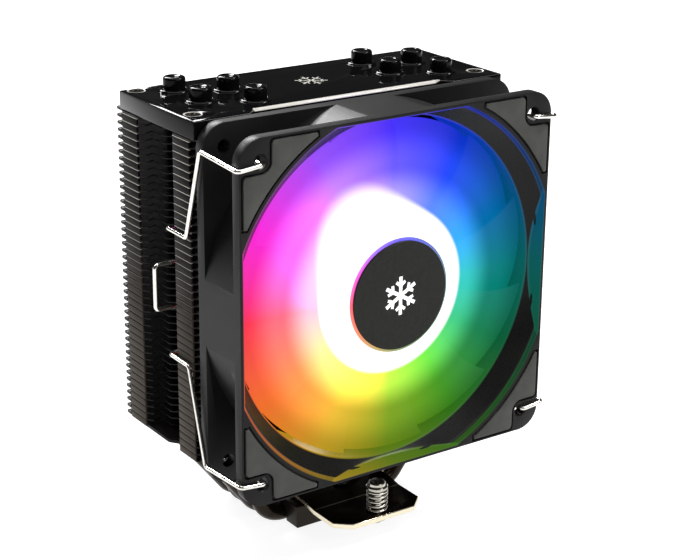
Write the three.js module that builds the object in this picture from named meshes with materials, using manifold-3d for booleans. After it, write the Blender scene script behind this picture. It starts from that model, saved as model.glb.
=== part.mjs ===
// CPU tower cooler: a direct-touch base, four U-shaped heat pipes, a stack of fins with a glossy cover,
// a sprung mounting bar and a 120 mm lit fan that two wire clips hold on the front.
// Millimetres, +Z up. The origin is the centre of the base's contact face and the fan blows along +Y.
import * as THREE from 'three';
import { mergeVertices } from 'three/addons/utils/BufferGeometryUtils.js';
import Module from 'manifold-3d';

// ---- Fits ----
const GAP = 0.3; // between pieces that touch
const SLIP = 0.3; // radial clearance of a pin or pipe in its hole

// ---- Base and heat pipes ----
const BASE_WIDTH = 40.6; // along X
const BASE_LENGTH = 45.6; // along Y
const BASE_HEIGHT = 8.2;
const PIPE_RADIUS = 3;
const PIPE_PITCH = 8.4; // between neighbouring pipes, along Y
const PIPE_COUNT = 4;
const PIPE_CENTRE_Z = 2.6; // the underside is ground flat with the base
const PIPE_BEND = 9; // centreline radius
const PIPE_SLANT = THREE.MathUtils.degToRad(52); // of the legs that run outwards
const LEG_OUTER_X = 44.6;
const LEG_INNER_X = 29.4;

// ---- Fin stack ----
const TOWER_WIDTH = 120;
const TOWER_DEPTH = 49.4;
const TOWER_FRONT_Y = -26.2;
const FIN_BOTTOM_Z = 36.2;
const FIN_COUNT = 12;
const FIN_THICKNESS = 1.6; // one modelled fin stands for four 0.4 mm sheets
const FIN_PITCH = 9.67;
const TAB_THICKNESS = 0.6; // folded edges that tie the fins together
const FRONT_COLUMN_START = 2.8; // front column of tabs, measured back from the front
const COLUMN_LENGTH = 10.2;
const REAR_TOOTH = 3.2; // fin behind the rear column
const SIDE_GROOVE = 7.2; // depth of the groove in each side
const RECESS_DEPTH = 4.3; // middle of the front edge
const RECESS_HALF = 35.5;

// ---- Top cover ----
const COVER_HEIGHT = 6;
const COVER_PLATE = 1.3;
const COVER_WALL = 1.2;
const COVER_REAR_INSET = 1.7; // the fins reach further back than the cover
const COVER_SCREW_INSET = 4.7; // from the sides
const COVER_SCREW_FRONT = 8.4; // from the front edge
const COVER_SCREW_REAR = 3; // from the rear edge
const COVER_SCREW_HEAD = 2.7; // radius
const SCREW_SHANK = 1.45; // radius
const COVER_SCREW_LENGTH = 4.4;
const CAP_RADIUS = 3.7;
const CAP_RISE = 4.6; // above the cover
const CAP_ROOF = 0.9;

// ---- Mounting bar, spring screws and springs ----
const BAR_THICKNESS = 2;
const BAR_HALF_WIDTH = 18;
const BAR_HALF_LENGTH = 45.8;
const BAR_CORNER_X = 5.5; // chamfered corners
const BAR_CORNER_Y = 5;
const BAR_DROP = 1.1; // the ends lie lower than the middle
const BAR_BEND_Y = 29.6;
const BAR_SCREW_Y = 19.35;
const BAR_SCREW_HEAD_RADIUS = 2.75;
const BAR_SCREW_HEAD_HEIGHT = 1.5;
const BAR_SCREW_LENGTH = 6;
const MOUNT_SCREW_Y = 41;
const MOUNT_HEAD_RADIUS = 3.75;
const MOUNT_HEAD_HEIGHT = 2.6;
const MOUNT_SHANK_RADIUS = 2;
const MOUNT_TIP = 2.2; // below the bar
const MOUNT_GROOVE_RADIUS = 1.5;
const SPRING_LENGTH = 8.2;
const SPRING_WIRE = 0.45; // radius
const SPRING_RADIUS = 3.3;
const SPRING_TURNS = 4;
const E_CLIP_RADIUS = 3.5;
const E_CLIP_THICKNESS = 0.7;
const E_CLIP_MOUTH = THREE.MathUtils.degToRad(70);

// ---- Fan ----
const FAN_SIZE = 120;
const FAN_DEPTH = 25;
const FAN_HOLE_HALF = 52.5;
const FAN_HOLE_RADIUS = 2.25;
const FLANGE_THICKNESS = 4;
const FLANGE_CORNER = 8;
const BARREL_RADIUS = 61;
const BORE_RADIUS = 57.8;
const MOUTH_RADIUS = 64;
const MOUTH_LIP = 1.2; // rim left where the mouth meets each side
const MOUTH_DEPTH = 4.6;
const FRONT_PAD = 0.8; // thickness
const REAR_PAD = 0.6;
const PAD_ARC = 66;
const PAD_INSET = 1;
const PAD_END = 32.2;
const PAD_NOTCH = 3.7; // clear around each mounting hole
const STRUT_COUNT = 4;
const STRUT_WIDTH = 5;
const STRUT_DEPTH = 3;
const MOTOR_PLATE_LAP = 1.1; // outside the hub's radius
const MOTOR_PLATE = 2.2;
const TUBE_RADIUS = 4.5; // bearing tube, outside
const TUBE_LENGTH = 17;
const HUB_RADIUS = 19.4;
const HUB_WALL = 1.7;
const HUB_REAR = 5;
const HUB_FRONT = 24;
const HUB_FACE = 2;
const BLADE_COUNT = 11;
const TIP_CLEARANCE = 1.3;
const BLADE_THICKNESS = 1.5;
const BLADE_REAR = 6.4;
const BLADE_RISE = 14.2; // axial rise from rear edge to front edge
const BLADE_SWEEP = THREE.MathUtils.degToRad(14);
const BLADE_SPAN = THREE.MathUtils.degToRad(30);
const DISC_RIM = 1.15; // lit rim left around the label disc
const DISC_THICKNESS = 0.5;
const YOKE_WALL = 1;
const MAGNET_WALL = 1.7;
const MAGNET_LENGTH = 10;
const AIR_GAP = 0.5;
const SHAFT_RADIUS = 1.5;
const SLEEVE_WALL = 1.1;
const STATOR_REAR = 7.2;
const STATOR_LENGTH = 7;
const STATOR_POLES = 4;
const STATOR_YOKE = 1.4; // iron around the bearing tube
const POLE_WIDTH = 4;
const POLE_TIP = 1.6;
const COIL_BUILD = 1.9; // thickness of the winding around a pole
const COIL_SHOE_GAP = 0.9; // between a winding and its pole shoe
const BOARD_INSET = 2; // inside the hub's radius
const BOARD_THICKNESS = 1.2;
const LED_COUNT = 4;
const LED_SIZE = [3.4, 2.8, 0.9];
const LED_INSET = 3; // middle of a diode, inside the board's edge

// ---- Wire clips ----
const WIRE_RADIUS = 0.75;
const WIRE_BEND = 2;
const WIRE_STANDOFF = 1.2; // wire centre from the fan's faces and sides
const CLIP_TIP = 2.2; // reach into the mounting hole
const CLIP_CATCH_Z = 21.8; // where the wire crosses the front column of tabs
const CLIP_GRIP_HALF = 6.4;
const CLIP_GRIP_OUT = 3.9; // grip, outside the tower's side

// ---- Worked out from the sizes above ----
const pipeRows = Array.from({ length: PIPE_COUNT }, (_, i) => ((PIPE_COUNT - 1) / 2 - i) * PIPE_PITCH);
const finTopZ = FIN_BOTTOM_Z + (FIN_COUNT - 1) * FIN_PITCH + FIN_THICKNESS;
const coverBottomZ = finTopZ + GAP;
const coverTopZ = coverBottomZ + COVER_HEIGHT;
const capTopZ = coverTopZ + CAP_RISE;
const towerRearY = TOWER_FRONT_Y + TOWER_DEPTH;
const fanRearY = TOWER_FRONT_Y - REAR_PAD - 2 * GAP;
const fanCentreZ = coverTopZ - FAN_SIZE / 2;
const barTopZ = BASE_HEIGHT + GAP + BAR_THICKNESS;
const barEndTopZ = barTopZ - BAR_DROP;
const mountHeadZ = barEndTopZ + SPRING_LENGTH; // underside of the head
const motorPlateRadius = HUB_RADIUS + MOTOR_PLATE_LAP;
const boardRadius = HUB_RADIUS - BOARD_INSET;
const ledRadius = boardRadius - LED_INSET;

// Legs: two pipes lean to the left and two to the right, turn about.
const pipeLegs = pipeRows.map((_, i) =>
  i % 2 === 0 ? { left: -LEG_OUTER_X, right: LEG_INNER_X } : { left: -LEG_INNER_X, right: LEG_OUTER_X });

// ---- Materials ----
function finish(color, roughness, metalness) {
  return new THREE.MeshStandardMaterial({ color, roughness, metalness });
}
const blackCoat = finish(0x17161a, 0.38, 0.6);
const glossBlack = finish(0x08080a, 0.08, 0.5);
const darkMetal = finish(0x26221d, 0.25, 0.9);
const plasticGrey = finish(0x3d3e40, 0.62, 0);
const rubberGrey = finish(0x47484a, 0.9, 0);
const wireSteel = finish(0xd8d6d0, 0.2, 1);
const litBlade = finish(0xbcd2ff, 0.3, 0);
const copper = finish(0xb4643a, 0.35, 1);
const laminated = finish(0x8a8c90, 0.5, 0.9);
const magnetGrey = finish(0x2f3033, 0.8, 0.2);
const boardGreen = finish(0x1b5b35, 0.6, 0);
const brass = finish(0xb8964a, 0.35, 1);
const ledWhite = finish(0xf4f4ee, 0.4, 0);

// ---- Solids: joining and cutting closed meshes ----
const wasm = await Module();
wasm.setup();

function solid(geometry) {
  const bare = geometry.clone();
  bare.deleteAttribute('normal');
  bare.deleteAttribute('uv');
  const merged = mergeVertices(bare, 1e-4);
  return new wasm.Manifold(new wasm.Mesh({
    numProp: 3,
    vertProperties: merged.attributes.position.array,
    triVerts: new Uint32Array(merged.index.array),
  }));
}

function toGeometry(shape) {
  const mesh = shape.getMesh();
  const geometry = new THREE.BufferGeometry();
  geometry.setAttribute('position', new THREE.BufferAttribute(mesh.vertProperties, 3));
  geometry.setIndex(new THREE.BufferAttribute(mesh.triVerts, 1));
  return geometry;
}

const joined = (parts) => parts.reduce((whole, part) => whole.add(part));
const cutBy = (body, tools) => tools.reduce((rest, tool) => rest.subtract(tool), body);

// ---- Shapes ----
function polygon(points) {
  return new THREE.Shape(points.map(([x, y]) => new THREE.Vector2(x, y)));
}

function circlePoints(x, y, radius, sides, turn = 0) {
  return Array.from({ length: sides }, (_, i) => {
    const angle = turn + (2 * Math.PI * i) / sides;
    return [x + radius * Math.cos(angle), y + radius * Math.sin(angle)];
  });
}

// A polygon whose flats, not its corners, lie at the given radius.
const clearCircle = (x, y, radius, sides) => circlePoints(x, y, radius / Math.cos(Math.PI / sides), sides);

function roundedRect(halfX, halfY, corner, steps = 5) {
  const centres = [[1, 1, 0], [-1, 1, 1], [-1, -1, 2], [1, -1, 3]];
  return centres.flatMap(([sx, sy, quarter]) =>
    Array.from({ length: steps + 1 }, (_, i) => {
      const angle = (Math.PI / 2) * (quarter + i / steps);
      return [
        sx * (halfX - corner) + corner * Math.cos(angle),
        sy * (halfY - corner) + corner * Math.sin(angle),
      ];
    }));
}

// A prism over an outline, from one height to another.
function prism(points, from, to, holes = []) {
  const shape = polygon(points);
  shape.holes = holes.map((hole) => new THREE.Path(hole.map(([x, y]) => new THREE.Vector2(x, y))));
  return new THREE.ExtrudeGeometry(shape, { depth: to - from, bevelEnabled: false }).translate(0, 0, from);
}

// A turned piece about +Z: pairs of radius and height, from one end of the axis round to the other.
function turned(profile, sides) {
  const points = profile.map(([radius, height]) => new THREE.Vector2(radius, height));
  return new THREE.LatheGeometry(points, sides).rotateX(Math.PI / 2);
}

const cylinder = (radius, from, to, sides) => turned([[0, from], [radius, from], [radius, to], [0, to]], sides);

// A closed ring: the profile returns to its first point.
function ring(inner, outer, from, to, sides) {
  return turned([[inner, from], [outer, from], [outer, to], [inner, to], [inner, from]], sides);
}

const box = (x0, x1, y0, y1, z0, z1) =>
  new THREE.BoxGeometry(x1 - x0, y1 - y0, z1 - z0).translate((x0 + x1) / 2, (y0 + y1) / 2, (z0 + z1) / 2);

// A path through a list of points, one extrusion step from each point to the next.
class PointPath extends THREE.Curve {
  constructor(points) {
    super();
    this.points = points;
  }

  getPoint(t, target = new THREE.Vector3()) {
    const last = this.points.length - 1;
    const index = Math.min(Math.round(t * last), last);
    return target.copy(this.points[index]);
  }

  getPointAt(u, target) {
    return this.getPoint(u, target);
  }

  getTangentAt(u, target = new THREE.Vector3()) {
    const last = this.points.length - 1;
    const index = Math.round(u * last);
    const before = this.points[Math.max(index - 1, 0)];
    const after = this.points[Math.min(index + 1, last)];
    return target.subVectors(after, before).normalize();
  }

  getTangent(t, target) {
    return this.getTangentAt(t, target);
  }
}

function tube(points, radius, sides) {
  const section = polygon(circlePoints(0, 0, radius, sides));
  const path = new PointPath(points);
  return new THREE.ExtrudeGeometry(section, { steps: points.length - 1, extrudePath: path, bevelEnabled: false });
}

// The corners of a bent wire, rounded to the bend radius.
function roundedCorners(corners, radius, steps) {
  const points = [corners[0]];
  for (let i = 1; i < corners.length - 1; i += 1) {
    const corner = corners[i];
    const back = new THREE.Vector3().subVectors(corners[i - 1], corner);
    const ahead = new THREE.Vector3().subVectors(corners[i + 1], corner);
    const halfAngle = back.angleTo(ahead) / 2;
    const reach = Math.min(radius / Math.tan(halfAngle), back.length() / 2.1, ahead.length() / 2.1);
    const start = corner.clone().addScaledVector(back.normalize(), reach);
    const end = corner.clone().addScaledVector(ahead.normalize(), reach);
    const bend = new THREE.QuadraticBezierCurve3(start, corner, end);
    points.push(...bend.getPoints(steps));
  }
  points.push(corners[corners.length - 1]);
  return points;
}

const cooler = new THREE.Group();
const fan = new THREE.Group(); // its own frame: X right, Y up, Z from the rear face to the front
fan.rotation.x = Math.PI / 2;
fan.position.set(0, fanRearY, fanCentreZ);
cooler.add(fan);

function place(parent, name, geometry, material) {
  const mesh = new THREE.Mesh(geometry, material);
  mesh.name = name;
  parent.add(mesh);
  return mesh;
}

// ---- Base ----
const barScrewPlaces = [-BAR_SCREW_Y, BAR_SCREW_Y];

function baseBlock() {
  const radius = PIPE_RADIUS + SLIP;
  const outline = [[BASE_LENGTH / 2, 0], [BASE_LENGTH / 2, BASE_HEIGHT], [-BASE_LENGTH / 2, BASE_HEIGHT],
    [-BASE_LENGTH / 2, 0]];
  for (const row of [...pipeRows].reverse()) {
    outline.push([row - radius, 0]);
    for (let i = 0; i <= 8; i += 1) {
      const angle = Math.PI - (Math.PI * i) / 8;
      outline.push([row + radius * Math.cos(angle), PIPE_CENTRE_Z + radius * Math.sin(angle)]);
    }
    outline.push([row + radius, 0]);
  }
  // The section lies in Y and Z and runs along X.
  const section = prism(outline, -BASE_WIDTH / 2, BASE_WIDTH / 2)
    .rotateX(Math.PI / 2)
    .rotateZ(Math.PI / 2);
  const depth = barTopZ - BAR_SCREW_LENGTH;
  const holes = barScrewPlaces.map((y) =>
    solid(cylinder(SCREW_SHANK + SLIP, depth - GAP, BASE_HEIGHT + 1, 12).translate(0, y, 0)));
  return toGeometry(cutBy(solid(section), holes));
}

// ---- Heat pipes ----
function legPoints(legX) {
  // From the middle of the base out to one leg, in X and Z.
  const side = Math.sign(legX);
  const start = BASE_WIDTH / 2 + 0.4;
  const slanted = Math.abs(legX) > start + PIPE_BEND + 0.5;
  const lower = slanted ? PIPE_SLANT : Math.PI / 2;
  const points = [];
  const bendSteps = 5;
  for (let i = 0; i <= bendSteps; i += 1) {
    const angle = (lower * i) / bendSteps;
    points.push([start + PIPE_BEND * Math.sin(angle), PIPE_CENTRE_Z + PIPE_BEND * (1 - Math.cos(angle))]);
  }
  if (slanted) {
    const rest = Math.PI / 2 - lower;
    const endX = Math.abs(legX) - PIPE_BEND * (1 - Math.cos(rest));
    const [fromX, fromZ] = points[points.length - 1];
    const endZ = fromZ + (endX - fromX) * Math.tan(lower);
    for (let i = 0; i <= 3; i += 1) {
      const angle = (rest * i) / 3;
      // Angle left until the pipe stands upright.
      points.push([
        Math.abs(legX) - PIPE_BEND * (1 - Math.cos(rest - angle)),
        endZ + PIPE_BEND * (Math.sin(rest) - Math.sin(rest - angle)),
      ]);
    }
  } else {
    points[points.length - 1][0] = Math.abs(legX);
  }
  points.push([Math.abs(legX), capTopZ - CAP_ROOF - GAP]);
  return points.map(([x, z]) => [side * x, z]);
}

function heatPipe(index) {
  const { left, right } = pipeLegs[index];
  const route = [...legPoints(left).reverse(), ...legPoints(right)];
  const points = route.map(([x, z]) => new THREE.Vector3(x, pipeRows[index], z));
  const round = solid(tube(points, PIPE_RADIUS, 10));
  const grinder = box(-TOWER_WIDTH, TOWER_WIDTH, -TOWER_DEPTH, TOWER_DEPTH, -2 * PIPE_RADIUS, 0);
  return toGeometry(round.subtract(solid(grinder)));
}

const pipeEnds = pipeLegs.flatMap(({ left, right }, i) => [[left, pipeRows[i]], [right, pipeRows[i]]]);

// ---- Fins ----
const rearColumnEnd = towerRearY - REAR_TOOTH;
const rearColumnStart = rearColumnEnd - COLUMN_LENGTH;
const frontColumnStart = TOWER_FRONT_Y + FRONT_COLUMN_START;
const frontColumnEnd = frontColumnStart + COLUMN_LENGTH;
const recessY = TOWER_FRONT_Y + RECESS_DEPTH;

// Right half of a fin's outline, from the front round to the rear.
function finHalf() {
  const side = TOWER_WIDTH / 2;
  const groove = side - SIDE_GROOVE;
  return [
    [RECESS_HALF, recessY],
    [RECESS_HALF + RECESS_DEPTH, TOWER_FRONT_Y],
    [side - FRONT_COLUMN_START, TOWER_FRONT_Y],
    [side, frontColumnStart],
    [side, frontColumnEnd],
    [groove, frontColumnEnd + 0.8],
    [groove, rearColumnStart - 10.6],
    [groove + 2.3, rearColumnStart - 8.6],
    [groove + 2.3, rearColumnStart - 0.8],
    [side - 1.6, rearColumnStart - 2.4],
    [side, rearColumnStart],
    [side, rearColumnEnd],
    [side - REAR_TOOTH / 2, towerRearY],
  ];
}

function mirrored(half) {
  return [...half, ...half.map(([x, y]) => [-x, y]).reverse()];
}

function finStack() {
  const holes = pipeEnds.map(([x, y]) => clearCircle(x, y, PIPE_RADIUS + SLIP, 6));
  const block = solid(prism(mirrored(finHalf()), FIN_BOTTOM_Z, finTopZ, holes));
  // Between two fins everything goes except the folded edges at the four columns.
  const wall = TOWER_WIDTH / 2 - TAB_THICKNESS;
  const far = TOWER_WIDTH;
  const slotHalf = [
    [far, TOWER_FRONT_Y - 5],
    [far, frontColumnStart],
    [wall, frontColumnStart],
    [wall, frontColumnEnd],
    [far, frontColumnEnd],
    [far, rearColumnStart],
    [wall, rearColumnStart],
    [wall, rearColumnEnd],
    [far, rearColumnEnd],
    [far, towerRearY + 5],
  ];
  const slots = Array.from({ length: FIN_COUNT - 1 }, (_, i) => {
    const z = FIN_BOTTOM_Z + i * FIN_PITCH + FIN_THICKNESS;
    return solid(prism(mirrored(slotHalf), z, z + FIN_PITCH - FIN_THICKNESS));
  });
  return toGeometry(cutBy(block, slots));
}

// ---- Top cover, its screws and the pipe caps ----
const coverRearY = towerRearY - COVER_REAR_INSET;
const coverScrewPlaces = [-1, 1].flatMap((side) =>
  [TOWER_FRONT_Y + COVER_SCREW_FRONT, coverRearY - COVER_SCREW_REAR].map((y) =>
    [side * (TOWER_WIDTH / 2 - COVER_SCREW_INSET), y]));

function coverHalf(inset) {
  return [
    [RECESS_HALF - inset * 0.4, recessY + inset],
    [RECESS_HALF + RECESS_DEPTH - inset * 0.4, TOWER_FRONT_Y + inset],
    [TOWER_WIDTH / 2 - inset, TOWER_FRONT_Y + inset],
    [TOWER_WIDTH / 2 - inset, coverRearY - inset],
  ];
}

function topCover() {
  const shell = solid(prism(mirrored(coverHalf(0)), coverBottomZ, coverTopZ));
  const inside = solid(prism(mirrored(coverHalf(COVER_WALL)), coverBottomZ - 1, coverTopZ - COVER_PLATE));
  const capHoles = pipeEnds.map(([x, y]) =>
    solid(prism(clearCircle(x, y, CAP_RADIUS + SLIP, 12), coverBottomZ, coverTopZ + 1)));
  const countersink = turned([
    [0, -COVER_PLATE - 1],
    [SCREW_SHANK + SLIP, -COVER_PLATE - 1],
    [SCREW_SHANK + SLIP, -COVER_SCREW_HEAD + SCREW_SHANK],
    [COVER_SCREW_HEAD + SLIP, 0],
    [COVER_SCREW_HEAD + SLIP, 1],
    [0, 1],
  ], 16);
  const screwHoles = coverScrewPlaces.map(([x, y]) => solid(countersink.clone().translate(x, y, coverTopZ)));
  return toGeometry(cutBy(shell, [inside, ...capHoles, ...screwHoles]));
}

function coverScrew([x, y]) {
  const taper = COVER_SCREW_HEAD - SCREW_SHANK;
  const profile = [[0, -COVER_SCREW_LENGTH], [SCREW_SHANK, -COVER_SCREW_LENGTH], [SCREW_SHANK, -taper],
    [COVER_SCREW_HEAD, 0], [0, 0]];
  return turned(profile, 14).translate(x, y, coverTopZ);
}

function pipeCap([x, y]) {
  const bore = PIPE_RADIUS + SLIP;
  const bottom = coverTopZ - COVER_PLATE;
  const profile = [
    [bore, bottom],
    [CAP_RADIUS, bottom],
    [CAP_RADIUS, capTopZ - 0.8],
    [CAP_RADIUS - 0.8, capTopZ],
    [0, capTopZ],
    [0, capTopZ - CAP_ROOF],
    [bore, capTopZ - CAP_ROOF],
    [bore, bottom],
  ];
  return turned(profile, 12).translate(x, y, 0);
}

// ---- Mounting bar ----
function mountingBar() {
  const halfBase = BASE_LENGTH / 2;
  const top = [
    [-BAR_HALF_LENGTH, barEndTopZ],
    [-BAR_BEND_Y, barEndTopZ],
    [-halfBase, barTopZ],
    [halfBase, barTopZ],
    [BAR_BEND_Y, barEndTopZ],
    [BAR_HALF_LENGTH, barEndTopZ],
  ];
  const under = top.map(([y, z]) => [y, z - BAR_THICKNESS]).reverse();
  const section = prism([...under, ...top].reverse(), -BAR_HALF_WIDTH, BAR_HALF_WIDTH)
    .rotateX(Math.PI / 2)
    .rotateZ(Math.PI / 2);
  const planHalf = [
    [BAR_HALF_WIDTH - BAR_CORNER_X, -BAR_HALF_LENGTH],
    [BAR_HALF_WIDTH, -BAR_HALF_LENGTH + BAR_CORNER_Y],
    [BAR_HALF_WIDTH, BAR_HALF_LENGTH - BAR_CORNER_Y],
    [BAR_HALF_WIDTH - BAR_CORNER_X, BAR_HALF_LENGTH],
  ];
  const plan = solid(prism(mirrored(planHalf), 0, barTopZ + 1));
  const bores = [
    ...barScrewPlaces.map((y) => [y, SCREW_SHANK + SLIP]),
    ...[-MOUNT_SCREW_Y, MOUNT_SCREW_Y].map((y) => [y, MOUNT_SHANK_RADIUS + SLIP]),
  ].map(([y, radius]) => solid(cylinder(radius / Math.cos(Math.PI / 16), 0, barTopZ + 1, 16).translate(0, y, 0)));
  return toGeometry(cutBy(solid(section).intersect(plan), bores));
}

function barScrew(y) {
  const profile = [[0, -BAR_SCREW_LENGTH], [SCREW_SHANK, -BAR_SCREW_LENGTH], [SCREW_SHANK, GAP],
    [BAR_SCREW_HEAD_RADIUS, GAP], [BAR_SCREW_HEAD_RADIUS, BAR_SCREW_HEAD_HEIGHT], [0, BAR_SCREW_HEAD_HEIGHT]];
  return turned(profile, 14).translate(0, y, barTopZ);
}

const eClipTopZ = barEndTopZ - BAR_THICKNESS - GAP;

function mountScrew(y) {
  const groove = [eClipTopZ - E_CLIP_THICKNESS - GAP, eClipTopZ + GAP];
  const tip = groove[0] - MOUNT_TIP / 2;
  const head = mountHeadZ + MOUNT_HEAD_HEIGHT;
  const profile = [
    [0, tip],
    [MOUNT_SHANK_RADIUS, tip],
    [MOUNT_SHANK_RADIUS, groove[0]],
    [MOUNT_GROOVE_RADIUS, groove[0]],
    [MOUNT_GROOVE_RADIUS, groove[1]],
    [MOUNT_SHANK_RADIUS, groove[1]],
    [MOUNT_SHANK_RADIUS, mountHeadZ],
    [MOUNT_HEAD_RADIUS, mountHeadZ],
    [MOUNT_HEAD_RADIUS, head - 0.5],
    [MOUNT_HEAD_RADIUS - 0.5, head],
    [0, head],
  ];
  return turned(profile, 16).translate(0, y, 0);
}

function eClip(y) {
  const inner = MOUNT_GROOVE_RADIUS + SLIP;
  const steps = 10;
  const sweep = 2 * Math.PI - E_CLIP_MOUTH;
  const arc = (radius) => Array.from({ length: steps + 1 }, (_, i) => {
    const angle = E_CLIP_MOUTH / 2 + (sweep * i) / steps;
    return [radius * Math.cos(angle), y + radius * Math.sin(angle)];
  });
  return prism([...arc(E_CLIP_RADIUS), ...arc(inner).reverse()], eClipTopZ - E_CLIP_THICKNESS, eClipTopZ);
}

function spring(y) {
  const bottom = barEndTopZ + GAP + SPRING_WIRE;
  const top = mountHeadZ - GAP - SPRING_WIRE;
  const turnSteps = 9;
  const steps = SPRING_TURNS * turnSteps;
  const points = Array.from({ length: steps + 1 }, (_, i) => {
    const angle = (2 * Math.PI * i) / turnSteps;
    return new THREE.Vector3(
      SPRING_RADIUS * Math.cos(angle),
      y + SPRING_RADIUS * Math.sin(angle),
      bottom + ((top - bottom) * i) / steps,
    );
  });
  return tube(points, SPRING_WIRE, 6);
}

// ---- Fan frame ----
const half = FAN_SIZE / 2;
const corners = [[-1, -1], [1, -1], [1, 1], [-1, 1]];
const tubeBore = SHAFT_RADIUS + SLIP + SLEEVE_WALL + SLIP;

function fanFrame() {
  const flange = roundedRect(half, half, FLANGE_CORNER);
  const square = solid(prism(flange, -1, FAN_DEPTH + 1));
  const body = joined([
    solid(prism(flange, 0, FLANGE_THICKNESS)),
    solid(prism(flange, FAN_DEPTH - FLANGE_THICKNESS, FAN_DEPTH)),
    solid(cylinder(BARREL_RADIUS, 0, FAN_DEPTH, 48)).intersect(square),
  ]);
  const lip = half - MOUTH_LIP;
  const mouth = solid(turned([
    [0, FAN_DEPTH - MOUTH_DEPTH],
    [BORE_RADIUS, FAN_DEPTH - MOUTH_DEPTH],
    [MOUTH_RADIUS, FAN_DEPTH],
    [MOUTH_RADIUS, FAN_DEPTH + 1],
    [0, FAN_DEPTH + 1],
  ], 48)).intersect(solid(box(-lip, lip, -lip, lip, 0, FAN_DEPTH + 2)));
  const bore = solid(cylinder(BORE_RADIUS, -1, FAN_DEPTH + 1, 48));
  const holes = corners.map(([sx, sy]) => solid(
    cylinder(FAN_HOLE_RADIUS, -1, FAN_DEPTH + 1, 10).translate(sx * FAN_HOLE_HALF, sy * FAN_HOLE_HALF, 0)));
  const duct = cutBy(body, [mouth, bore, ...holes]);
  const reach = (BORE_RADIUS + BARREL_RADIUS) / 2;
  const struts = Array.from({ length: STRUT_COUNT }, (_, i) => solid(
    box(motorPlateRadius / 2, reach, -STRUT_WIDTH / 2, STRUT_WIDTH / 2, 0, STRUT_DEPTH)
      .rotateZ((2 * Math.PI * (i + 0.5)) / STRUT_COUNT)));
  const motorPlate = solid(cylinder(motorPlateRadius, 0, MOTOR_PLATE, 32));
  const boardRoom = solid(ring(TUBE_RADIUS, motorPlateRadius, MOTOR_PLATE, STRUT_DEPTH + 1, 32));
  const tubeWall = solid(cylinder(TUBE_RADIUS, 0, TUBE_LENGTH, 20));
  const tubeHollow = solid(cylinder(tubeBore, 1, TUBE_LENGTH + 1, 20));
  const web = joined([...struts, motorPlate]).subtract(boardRoom);
  return toGeometry(duct.add(web).add(tubeWall).subtract(tubeHollow));
}

// A pad fills the corner between the mouth and the flange's edges, except around the mounting hole.
// It is drawn for the corner at +X, +Y and mirrored to the others.
function cornerPad([sx, sy], from, to) {
  const edge = half - PAD_INSET;
  const notch = FAN_HOLE_HALF - PAD_NOTCH;
  const notchSteps = 4;
  const notchArc = Array.from({ length: notchSteps + 1 }, (_, i) => {
    const angle = Math.PI * (1.5 - (0.5 * i) / notchSteps);
    return [FAN_HOLE_HALF + PAD_NOTCH * Math.cos(angle), FAN_HOLE_HALF + PAD_NOTCH * Math.sin(angle)];
  });
  const arcEnd = Math.asin(PAD_END / PAD_ARC);
  const arcSteps = 6;
  const mouthArc = Array.from({ length: arcSteps + 1 }, (_, i) => {
    const angle = Math.PI / 2 - arcEnd - ((Math.PI / 2 - 2 * arcEnd) * i) / arcSteps;
    return [PAD_ARC * Math.cos(angle), PAD_ARC * Math.sin(angle)];
  });
  const points = [[edge, PAD_END], [edge, notch], ...notchArc, [notch, edge], [PAD_END, edge], ...mouthArc];
  const outline = points.map(([x, y]) => [sx * x, sy * y]);
  if (sx * sy < 0) {
    outline.reverse();
  }
  return prism(outline, from, to);
}

// ---- Rotor ----
const bladeTip = BORE_RADIUS - TIP_CLEARANCE;

function blade(index) {
  const root = HUB_RADIUS - HUB_WALL / 2;
  const grid = new THREE.BoxGeometry(1, 1, 1, 3, 3, 1);
  const place3 = grid.attributes.position;
  const start = (2 * Math.PI * index) / BLADE_COUNT;
  for (let i = 0; i < place3.count; i += 1) {
    const along = place3.getX(i) + 0.5; // hub to tip
    const across = place3.getY(i) + 0.5; // rear edge to front edge
    const radius = root + (bladeTip - root) * along;
    const span = BLADE_SPAN * (1 - 0.08 * along);
    const angle = start + span * across + BLADE_SWEEP * along * along;
    const rise = BLADE_RISE * (1 - 0.3 * along) * (across + 0.12 * Math.sin(Math.PI * across));
    const depth = BLADE_REAR + 1.5 * along + rise + BLADE_THICKNESS * (place3.getZ(i) + 0.5);
    place3.setXYZ(i, radius * Math.cos(angle), radius * Math.sin(angle), depth);
  }
  return grid;
}

function rotorBody() {
  const inner = HUB_RADIUS - HUB_WALL;
  const back = HUB_FRONT - HUB_FACE;
  const boss = SHAFT_RADIUS + SLIP;
  const cup = turned([
    [inner, HUB_REAR],
    [HUB_RADIUS, HUB_REAR],
    [HUB_RADIUS, HUB_FRONT - 0.6],
    [HUB_RADIUS - 0.6, HUB_FRONT],
    [0, HUB_FRONT],
    [0, back],
    [boss, back],
    [boss, back - 2.5],
    [boss + 1.4, back - 2.5],
    [boss + 1.4, back],
    [inner, back],
    [inner, HUB_REAR],
  ], 44);
  const hollow = cylinder(inner, HUB_REAR - 1, back, 44);
  const blades = Array.from({ length: BLADE_COUNT }, (_, i) => solid(blade(i)).subtract(solid(hollow)));
  return toGeometry(joined([solid(cup), ...blades]));
}

const yokeOuter = HUB_RADIUS - HUB_WALL - GAP;
const yokeInner = yokeOuter - YOKE_WALL;
const yokeFront = HUB_FRONT - HUB_FACE - GAP;
const bossOuter = SHAFT_RADIUS + SLIP + 1.4;
const magnetOuter = yokeInner - GAP;
const magnetInner = magnetOuter - MAGNET_WALL;
const statorOuter = magnetInner - AIR_GAP;

function yoke() {
  return turned([
    [yokeInner, HUB_REAR + 0.5],
    [yokeOuter, HUB_REAR + 0.5],
    [yokeOuter, yokeFront],
    [bossOuter + SLIP, yokeFront],
    [bossOuter + SLIP, yokeFront - YOKE_WALL],
    [yokeInner, yokeFront - YOKE_WALL],
    [yokeInner, HUB_REAR + 0.5],
  ], 36);
}

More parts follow.
